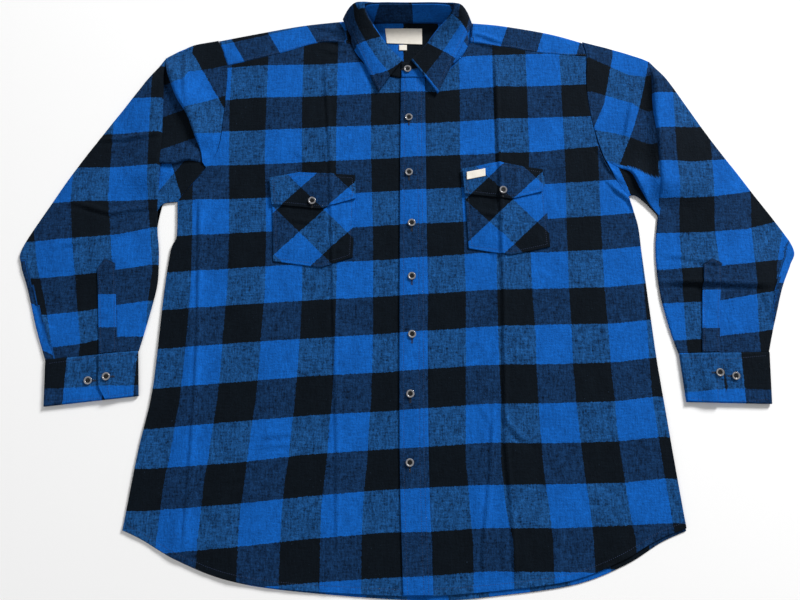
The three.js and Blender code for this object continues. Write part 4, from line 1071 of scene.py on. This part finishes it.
def buildCuff(side):
    shape = cuffShape[side]
    toInner = 1 if shape["innerTop"][0] > shape["outerTop"][0] else -1
    turn = (cuffBand + 0.3) / 2
    fold = toInner * (turn + cuffBand / 2)
    under, over, lap = cuffBand / 2, cuffBand * 1.5 + 0.3, cuffBand * 2.5 + 0.6
    rows = 26
    outerEdge = lineThrough(shape["outerTop"], shape["outerFoot"])
    innerEdge = lineThrough(shape["innerTop"], shape["innerFoot"])

    def section(share):
        outer, inner = outerEdge(share), innerEdge(share)
        low = cuffShape["lowShare"]
        straight = shape["lapTop"] + (shape["lapLow"] - shape["lapTop"]) * min(1, share / low)
        end = straight + (shape["lapFoot"] - shape["lapLow"]) * max(0, (share - low) / (1 - low))
        flat, slope = cuffShape["lapFlat"], cuffShape["lapSlope"]
        points = [(end, lap)]
        lapEnd = shape["lapTop"] + toInner * flat
        points += [(end + (lapEnd - end) * k / 8, lap) for k in range(1, 9)]
        down = lapEnd + toInner * slope
        points += [(lapEnd + (down - lapEnd) * k / 9, lap + (over - lap) * fade(k / 9))
                   for k in range(1, 10)]
        points += [(down + (inner.x - fold - down) * k / 8, over) for k in range(1, 9)]
        for k in range(1, 8):
            angle = math.pi * k / 8
            reach = toInner * cuffBand / 2
            points.append((inner.x - fold + (fold - reach) * math.sin(angle),
                           under + turn + turn * math.cos(angle)))
        points += [(inner.x - fold + (outer.x - inner.x + 2 * fold) * k / 16, under) for k in range(17)]
        for k in range(1, 8):
            angle = math.pi * k / 8
            reach = toInner * cuffBand / 2
            points.append((outer.x + fold - (fold - reach) * math.sin(angle),
                           under + turn - turn * math.cos(angle)))
        stop = shape["lapTop"] + toInner * cuffShape["lapUnder"]
        points += [(outer.x + fold + (stop - outer.x - fold) * k / 24, over) for k in range(25)]
        return outer, inner, points
    sections = [section(j / rows) for j in range(rows + 1)]
    count = len(sections[0][2])
    lapCount = 33

    def place(i, j):
        share = j / rows
        outer, inner, points = sections[j]
        x, z = points[i]
        t = (x - outer.x) / (inner.x - outer.x)
        y = outer.y + (inner.y - outer.y) * t
        y -= 0.3 if share == 0 else 0
        if z > over - 0.3:
            down = share * 70
            low, high = (0.3 * math.exp(-((down - row) / 1.2) ** 2) for row in (64, 5))
            z += 0.3 + edgeWaves(x, y, 0.35) - low - high
            z = max(over, z)
        return x, y, z

    def square(point, i, j):
        x, y = point[0], point[1]
        start, sign = shape["lapCheck"] if i < lapCount else shape["outerCheck"]
        edge = edgesAt(shape["edge"], x)[0]
        return (edge - y) / pitch, (x - start) * sign / (66 if i < lapCount else pitch)
    bm = bmesh.new()
    addGrid(bm, count - 1, rows, place, square)
    piece = finishCloth(bm, "cuff" + side.title() + "Band", cuffBand)
    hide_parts("cuff_" + side)
    return piece


placketPiece = buildPlacket()
pocketPieces = {side: buildPocket(side) for side in ("left", "right")}
towerPieces = {side: buildTower(side) for side in ("left", "right")}
cuffPieces = {side: buildCuff(side) for side in ("left", "right")}
print("placket, pockets, sleeve plackets and cuffs sewn on")


# ---- collar

# stand: seam x, y, z and roll line x, y, z, from the end below round the back to the end on top
standRows = [
    (12, 814, 3.9, 11, 841, 3.9), (-26, 816, 3.9, -12, 845, 4.2), (-66, 834, 4, -36, 872, 6),
    (-89, 858, 4.1, -56, 899, 14), (-99, 884, 4.1, -71, 921, 25), (-91, 909, 4, -72, 932, 31),
    (-56, 917, 2.6, -46, 932, 34), (0, 918, 2.4, -1, 931, 35), (56, 917, 2.6, 44, 932, 34),
    (90, 907, 4, 69, 931, 31), (99, 880, 4.1, 66, 918, 25), (88, 856, 4.2, 44, 896, 14),
    (62, 832, 5, 24, 870, 8), (26, 816, 6, 2, 845, 6.3), (-14, 814, 6, -14, 840, 6),
]
# leaf: start x, y, z outside the roll line, edge x, y, z, how far it bows out and how far up
leafRows = [
    (-12, 845, 6.6, -53, 787, 6, 4, 0), (-37, 871, 8.5, -76, 838, 7, 4, 0), (-58, 898, 16.2, -92.5, 876, 8, 4, 0),
    (-73.6, 920, 27.4, -104, 900, 8, 4, 4), (-75.5, 933.6, 32.4, -113, 921, 8, 4, 14),
    (-47, 934.4, 34.6, -82, 943, 5, 1.5, 1), (-1, 933.4, 35.6, 0, 945, 3, 1.5, 0),
    (45, 934.4, 34.6, 78, 942, 5, 1.5, 1), (72.5, 932.6, 32.4, 105, 912, 8, 4, 14),
    (68.6, 917, 27.4, 98, 896, 8, 4, 4), (46, 895, 16.2, 87.5, 873, 8, 4, 0), (25, 869, 10.4, 69.5, 835, 8, 4, 0),
    (2, 845, 8.7, 46, 784, 7, 4, 0),
]
collarShape = {"corners": (4, 8), "stitchIn": 5.5, "across": 14, "perRow": 9,
               "standEdges": [4.6, 5.85, 7.1, 8.8, 10.3, 11.6, 12.4]}


def buildStand():
    bm = bmesh.new()
    last = len(standRows) - 1
    columns, rows = last * collarShape["perRow"], 9

    def place(i, j):
        t, v = i / collarShape["perRow"], j / rows
        seam = Vector([rowAt(standRows, k, t) for k in (0, 1, 2)])
        roll = Vector([rowAt(standRows, k, t) for k in (3, 4, 5)])
        return tuple(seam.lerp(roll, v))

    def square(point, i, j):
        t = i / collarShape["perRow"]
        edges = collarShape["standEdges"]
        k = bisect.bisect_right(edges, t) - 1
        low = edges[k] if k >= 0 else edges[0] - 1.3
        high = edges[k + 1] if k + 1 < len(edges) else 14.5
        if t < 2.2 or t > 12.6 and j > 4:
            return 1.5, 1.5
        return 0.3 + 0.3 * j / rows, k + (t - low) / (high - low)
    addGrid(bm, columns, rows, place, square)
    piece = finishCloth(bm, "collarStandBand", band)
    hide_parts("collar_stand")
    return piece


def buildLeaf():
    bm = bmesh.new()
    last = len(leafRows) - 1
    columns, rows = last * collarShape["perRow"], collarShape["across"]

    def place(i, j):
        t, v = i / collarShape["perRow"], j / rows
        here = [rowAt(leafRows, k, t, collarShape["corners"]) for k in range(8)]
        start, edge, bow, lift = Vector(here[:3]), Vector(here[3:6]), here[6], here[7]
        roll = Vector([rowAt(standRows, k, t + 1) for k in (3, 4, 5)])
        out = (start - roll).normalized()
        pull = (start + edge) / 2 + out * bow * 2 + Vector((-math.copysign(0.45, start.x), 1, 1)) * lift
        groove = 0.28 * math.exp(-(((1 - v) * (edge - start).length - collarShape["stitchIn"]) / 1.3) ** 2)
        return tuple(start.lerp(pull, v).lerp(pull.lerp(edge, v), v) - out * groove)

    def square(point, i, j):
        t, v = i / collarShape["perRow"], j / rows
        if t <= 6:
            edges = [0.63 * v, 1.55 + 0.32 * v, 3.5 + 1.1 * fade((v - 0.3) / 0.25), 6.05]
            k, place2 = 0, t
        else:
            edges = [0.15, 1.2 + 0.1 * v, 3.05 - 0.1 * v, 4.5, 6.4]
            k, place2 = 1, 12 - t
        n = bisect.bisect_right(edges, place2) - 1
        low = edges[n] if n >= 0 else edges[0] - 1
        high = edges[n + 1] if n + 1 < len(edges) else 7
        split = 0.85 if t > 6 and n == 2 else 0.52
        return 2 + (v - split) * 1.9, n + k + min(0.999, (place2 - low) / max(0.05, high - low))
    addGrid(bm, columns, rows, place, square)
    piece = finishCloth(bm, "collarLeafBand", band)
    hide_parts("collar_leaf")
    return piece


standPiece = buildStand()
leafPiece = buildLeaf()
print("collar turned down")


# ---- plain labels

labelShape = {
    "neck_label": dict(foot=[(-39, 880), (21, 878)], top=[(-42, 908), (21, 908)], flat=(0.063, 0.03)),
    "size_tab": dict(foot=[(-18, 867), (-5, 867)], top=[(-18, 877), (-5, 877)], flat=(0.013, 0.01)),
    "pocket_label": dict(foot=[(91, 632), (121, 638)], top=[(91, 645), (121, 651)], flat=(0.031, 0.013)),
}


def buildLabel(name):
    shape = labelShape[name]
    onFlap = name == "pocket_label"
    bm = bmesh.new()
    plan = patchBetween(shape["foot"], shape["top"])
    level = cloth + 0.3 + tape / 2

    def height(x, y):
        if not onFlap:
            return level + 0.3 * waves(x * 2, y * 2)
        return flapLevel + band / 2 + 0.3 + tape / 2 + riseOf(x, y) + 2.0 + edgeWaves(x, y, 0.3)
    laySheet(bm, plan, height, lambda x, y: (x / pitch, y / pitch), 1.6)
    piece = finishCloth(bm, name.replace("_", "") + "Tape", tape, wovenTape)
    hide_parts(name)
    return piece


labelPieces = [buildLabel(name) for name in labelShape]
print("labels sewn in")


# ---- buttons, on whatever lies below them

buttonShape = {"radius": 6.3, "thick": 2.6, "hole": 0.75, "holeOut": 1.45, "sides": 24}
buttonPlaces = {
    "button_front_1": (-4, 829), "button_front_2": (-2, 742), "button_front_3": (-2, 646),
    "button_front_4": (2, 560), "button_front_5": (2, 473), "button_front_6": (2, 381),
    "button_front_7": (-1, 290), "button_front_8": (-2, 189),
    "button_flap_left": (-157, 596), "button_flap_right": (148, 612.5),
    "button_cuff_left_1": (-489, 310), "button_cuff_left_2": (-461, 316),
    "button_cuff_right_1": (468, 322), "button_cuff_right_2": (493, 317),
}


def surfaceTree(pieces):
    merged = bmesh.new()
    depsgraph = bpy.context.evaluated_depsgraph_get()
    for piece in pieces:
        mesh = piece.evaluated_get(depsgraph).to_mesh()
        merged.from_mesh(mesh)
    tree = BVHTree.FromBMesh(merged)
    merged.free()
    return tree


def topAt(tree, x, y):
    start = toMetres(x, y, 200)
    hit = tree.ray_cast(start, Vector((0, 0, -1)))
    return (hit[0], hit[1]) if hit[0] is not None else (toMetres(x, y, frontLevel), Vector((0, 0, 1)))


def buildButton(name, tree):
    x, y = buttonPlaces[name]
    bm = bmesh.new()
    radius, thick = buttonShape["radius"], buttonShape["thick"]
    profile = [(0.0, 0.0), (radius * 0.7, 0.0), (radius * 0.93, thick * 0.3), (radius, thick * 0.62),
               (radius * 0.96, thick * 0.9), (radius * 0.84, thick), (radius * 0.7, thick * 0.88),
               (radius * 0.58, thick * 0.56), (radius * 0.45, thick * 0.5), (radius * 0.2, thick * 0.5),
               (0.0, thick * 0.5)]
    verts = [bm.verts.new((r / 1000, 0, h / 1000)) for r, h in profile]
    edges = [bm.edges.new(pair) for pair in zip(verts, verts[1:])]
    bmesh.ops.spin(bm, geom=verts + edges, axis=(0, 0, 1), cent=(0, 0, 0), angle=math.tau,
                   steps=buttonShape["sides"], use_merge=True)
    bmesh.ops.remove_doubles(bm, verts=bm.verts, dist=1e-5)
    bmesh.ops.recalc_face_normals(bm, faces=bm.faces)
    ring = [f for f in bm.faces
            if f.normal.z > 0.9 and 0.0013 < f.calc_center_median().xy.length < 0.0029]
    chosen = []
    for k in range(4):
        spot = Vector((math.cos(math.pi * (0.25 + k / 2)), math.sin(math.pi * (0.25 + k / 2)), 0)) * 0.002
        chosen.append(min(ring, key=lambda f: (f.calc_center_median() - spot).xy.length))
    bmesh.ops.inset_individual(bm, faces=chosen, thickness=0.00012, depth=-0.0001)
    deep = bmesh.ops.extrude_discrete_faces(bm, faces=chosen)
    bmesh.ops.translate(bm, verts=list({v for f in deep["faces"] for v in f.verts}), vec=(0, 0, -0.0009))
    # faces on the raised ring, inside the outer edge, get the rim material with its painted highlight
    for face in bm.faces:
        spot = face.calc_center_median()
        face.material_index = 1 if 0.56 < spot.xy.length * 1000 / radius < 0.985 and face.normal.z > 0.05 else 0
    found = [topAt(tree, x + dx, y + dy) for dx, dy in ((0, 0), (5, 0), (-5, 0), (0, 5), (0, -5))]
    normal = sum((n for _, n in found), Vector()).normalized()
    normal = (normal + Vector((0, 0, 1.5))).normalized()
    seat = max(p.z for p, _ in found)
    turn = Vector((0, 0, 1)).rotation_difference(normal).to_matrix().to_4x4()
    spin = Matrix.Rotation(0.35 * len(name) + x, 4, "Z")
    place = toMetres(x, y, 0)
    place.z = seat + 0.0002
    bmesh.ops.transform(bm, matrix=Matrix.Translation(place) @ turn @ spin, verts=bm.verts)
    piece = newPiece(name + "_resin", bm, buttonResin, None)
    piece.data.materials.append(buttonRimPaintedHighlight)
    rounding = piece.modifiers.new("rounding", "SUBSURF")
    rounding.levels = rounding.render_levels = 1
    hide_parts(name)
    return piece


below = surfaceTree([placketPiece, standPiece, pocketPieces["left"][1], pocketPieces["right"][1],
                     cuffPieces["left"], cuffPieces["right"]])
buttonPieces = [buildButton(name, below) for name in buttonPlaces]
print("buttons fastened")


# ---- sewing: rows of small stitches and the worked buttonholes

stitchShape = {"pitch": 3.3, "length": 2.5, "wide": 0.42, "high": 0.3, "sink": 0.12}


def addStitch(bm, place, direction, normal, length, wide, high):
    made = bmesh.ops.create_icosphere(bm, subdivisions=1, radius=1)
    across = normal.cross(direction).normalized()
    along = across.cross(normal)
    turn = Matrix((along * length, across * wide, normal * high)).transposed().to_4x4()
    bmesh.ops.transform(bm, matrix=Matrix.Translation(place) @ turn @ Matrix.Diagonal((0.001, 0.001, 0.001, 1)),
                        verts=made["verts"])


def sewLine(bm, tree, path):
    look = stitchShape
    count = max(1, int(path.length / look["pitch"]))
    for k in range(count):
        t = (k + 0.5) / count
        p, ahead = path(t), path(min(1, t + 0.004)) - path(max(0, t - 0.004))
        start = toMetres(p[0], p[1], 200)
        place, normal, _, _ = tree.ray_cast(start, Vector((0, 0, -1)))
        if place is None or normal.z < 0.3:
            continue
        direction = Vector((ahead[0], ahead[1], 0)).normalized()
        addStitch(bm, place - normal * look["sink"] / 1000, direction, normal,
                  look["length"] / 2, look["wide"], look["high"])


def sew(name, pieces, paths, thread):
    tree = surfaceTree(pieces)
    bm = bmesh.new()
    for path in paths:
        sewLine(bm, tree, path)
    return newPiece(name, bm, thread)


def insetPath(points, gap, closed=False):
    middle = sum((Vector(p) for p in points), Vector((0, 0))) / len(points)
    moved = []
    for k, p in enumerate(points):
        before = Vector(points[k - 1]) if k or closed else None
        after = Vector(points[(k + 1) % len(points)]) if k < len(points) - 1 or closed else None
        sides = [(a - b).normalized() for a, b in ((Vector(p), before), (after, Vector(p)))
                 if a is not None and b is not None]
        normals = [Vector((-d.y, d.x)) for d in sides]
        normals = [n if n.dot(middle - Vector(p)) > 0 else -n for n in normals]
        shift = sum(normals, Vector((0, 0)))
        shift = shift / max(0.5, shift.length_squared / len(normals))
        moved.append(Vector(p) + shift * gap)
    return moved + moved[:1] if closed else moved


def placketLine(gap, fromLeft):
    side = curveThrough(placketShape["left" if fromLeft else "right"])
    samples = [side(k / 30) + Vector((gap if fromLeft else -gap, 0)) for k in range(31)]
    return alongSamples(samples)


def hemLine(gap):
    points = [curves["hemLeft"](k / 30) for k in range(31)] + [curves["hemRight"](k / 30) for k in range(31)]
    return alongSamples([p + Vector((0, gap)) for p in points])


def leafLine():
    samples = []
    last = len(leafRows) - 1
    for k in range(last * 6 + 1):
        t = k / 6
        start = Vector([rowAt(leafRows, n, t) for n in (0, 1)])
        edge = Vector([rowAt(leafRows, n, t) for n in (3, 4)])
        samples.append(edge + (start - edge).normalized() * collarShape["stitchIn"])
    return alongSamples(samples)


def besideCurve(curve, gap, start=0.0, end=1.0, steps=24):
    samples = []
    for k in range(steps + 1):
        t = start + (end - start) * k / steps
        ahead = (curve(min(1, t + 0.01)) - curve(max(0, t - 0.01))).normalized()
        samples.append(curve(t) + Vector((-ahead.y, ahead.x)) * gap)
    return alongSamples(samples)


def sewAll():
    sew("placketStitching", [placketPiece],
        [placketLine(placketShape["stitchIn"], True), placketLine(placketShape["stitchIn"], False),
         placketLine(placketShape["stitchIn"] + placketShape["secondRow"], False)], seamThread)
    for side in ("left", "right"):
        shape = pocketShape[side]
        pocket, flap = pocketPieces[side]
        inset = pocketShape["stitchIn"]
        outline = insetPath([shape["top"][0]] + shape["foot"] + [shape["top"][-1]], inset)
        flapLine = insetPath(shape["flapFoot"] + shape["flapTop"][::-1], inset, True)
        sew(side + "PocketStitching", [pocket, flap], [alongSamples(outline), alongSamples(flapLine)], seamThread)
        tower = towerShape[side]
        towerLine = insetPath([tower["foot"][0]] + tower["neck"] + [tower["foot"][1]], 3)
        cuff = cuffShape[side]
        ends = [cuff["lapTop"], cuff["innerTop"][0]]
        reach = 1 if ends[1] > ends[0] else -1
        high = [(ends[0] + reach * 5, cuff["innerTop"][1] - 8),
                (ends[1] - reach * 6, cuff["innerTop"][1] - 7)]
        low = [(cuff["lapFoot"] + reach * 6, cuff["innerFoot"][1] - 2),
               (cuff["innerFoot"][0] - reach * 6, cuff["innerFoot"][1] + 6)]
        outside = [(cuff["outerTop"][0] + reach * 7, cuff["outerTop"][1] - 6),
                   (ends[0] - reach * 4, cuff["innerTop"][1] - 10)]
        foot = [(cuff["outerFoot"][0] + reach * 7, cuff["outerFoot"][1] + 7),
                (cuff["lapFoot"] - reach * 4, cuff["innerFoot"][1] - 3)]
        sew(side + "SleeveStitching", [towerPieces[side], cuffPieces[side]],
            [alongSamples([Vector(p) for p in towerLine])]
            + [lineThrough(*line) for line in (high, low, (high[0], low[0]), outside, foot)], seamThread)
    sew("hemStitching", [frontLeftPiece, frontRightPiece], [hemLine(9)], seamThread)
    sew("yokeStitching", [yokePiece],
        [besideCurve(curves["yokeSeamLeft"], 3), besideCurve(curves["yokeSeamRight"], 3)], seamThread)
    sew("collarStitching", [leafPiece], [leafLine()], seamThread)


sewAll()

holeShape = {"rows": 10, "pitch": 0.78, "apart": 0.8, "below": 6, "beside": 4,
             "length": 0.85, "wide": 0.42, "high": 0.36}


def buildButtonholes():
    tree = surfaceTree([placketPiece, pocketPieces["left"][1], pocketPieces["right"][1],
                        cuffPieces["left"], cuffPieces["right"], standPiece])
    bm = bmesh.new()
    for name, (x, y) in buttonPlaces.items():
        upright = "front" in name and not name.endswith("_1") or "flap" in name
        beside = holeShape["beside"] if "left" in name else -holeShape["beside"]
        middle = Vector((x, y - holeShape["below"])) if upright else Vector((x + beside, y))
        step = Vector((0, 1)) if upright else Vector((1, 0))
        for k in range(-holeShape["rows"], holeShape["rows"] + 1):
            for side in (-1, 1):
                spot = middle + step * k * holeShape["pitch"] + Vector((step.y, step.x)) * side * holeShape["apart"]
                place, normal, _, _ = tree.ray_cast(toMetres(spot.x, spot.y, 200), Vector((0, 0, -1)))
                if place is not None:
                    addStitch(bm, place, Vector((step.y, step.x, 0)), normal,
                              holeShape["length"], holeShape["wide"], holeShape["high"])
    newPiece("buttonholeStitching", bm, holeThread)


buildButtonholes()
print("seams and buttonholes stitched")


# ---- table, light and camera

def buildStage():
    bm = bmesh.new()
    bmesh.ops.create_grid(bm, x_segments=1, y_segments=1, size=6)
    bmesh.ops.translate(bm, verts=bm.verts, vec=(0, 0, -0.0004))
    mesh = bpy.data.meshes.new("tableTop")
    bm.to_mesh(mesh)
    bm.free()
    floor = bpy.data.objects.new("tableTop", mesh)
    bpy.context.scene.collection.objects.link(floor)
    material = bpy.data.materials.new("paleTable")
    material.use_nodes = True
    shader = material.node_tree.nodes["Principled BSDF"]
    shader.inputs["Base Color"].default_value = (0.92, 0.92, 0.92, 1)
    shader.inputs["Roughness"].default_value = 0.9
    mesh.materials.append(material)

    world = bpy.data.worlds.new("softRoom")
    bpy.context.scene.world = world
    world.use_nodes = True
    background = world.node_tree.nodes["Background"]
    background.inputs["Color"].default_value = (1, 1, 1, 1)
    background.inputs["Strength"].default_value = stageLook["room"]
    for name, place, size, power in stageLook["lamps"]:
        light = bpy.data.lights.new(name, "AREA")
        light.energy = power
        light.size = size
        lamp = bpy.data.objects.new(name, light)
        lamp.location = place
        lamp.rotation_euler = (Vector((0, 0, 0)) - Vector(place)).to_track_quat("-Z", "Y").to_euler()
        bpy.context.scene.collection.objects.link(lamp)


stageLook = {"room": 0.32, "lamps": [("windowLight", (3.0, 3.6, 2.7), 1.5, 400),
                                     ("fillLight", (-2.4, -1.2, 3.0), 2.6, 24)]}
buildStage()

cameraData = bpy.data.cameras.new("photoCamera")
cameraData.sensor_width = 36
cameraData.lens = 30.735
cameraData.clip_start = 0.01
camera = bpy.data.objects.new("photoCamera", cameraData)
camera.location = ((shiftX - 16.5) / 1000, (shiftY + 436 - 221.81) / 1000, 1.04354)
camera.rotation_euler = (math.radians(12), 0, 0)
bpy.context.scene.collection.objects.link(camera)
bpy.context.scene.camera = camera
bpy.context.scene.view_settings.view_transform = "Standard"
print("table, light and camera set")
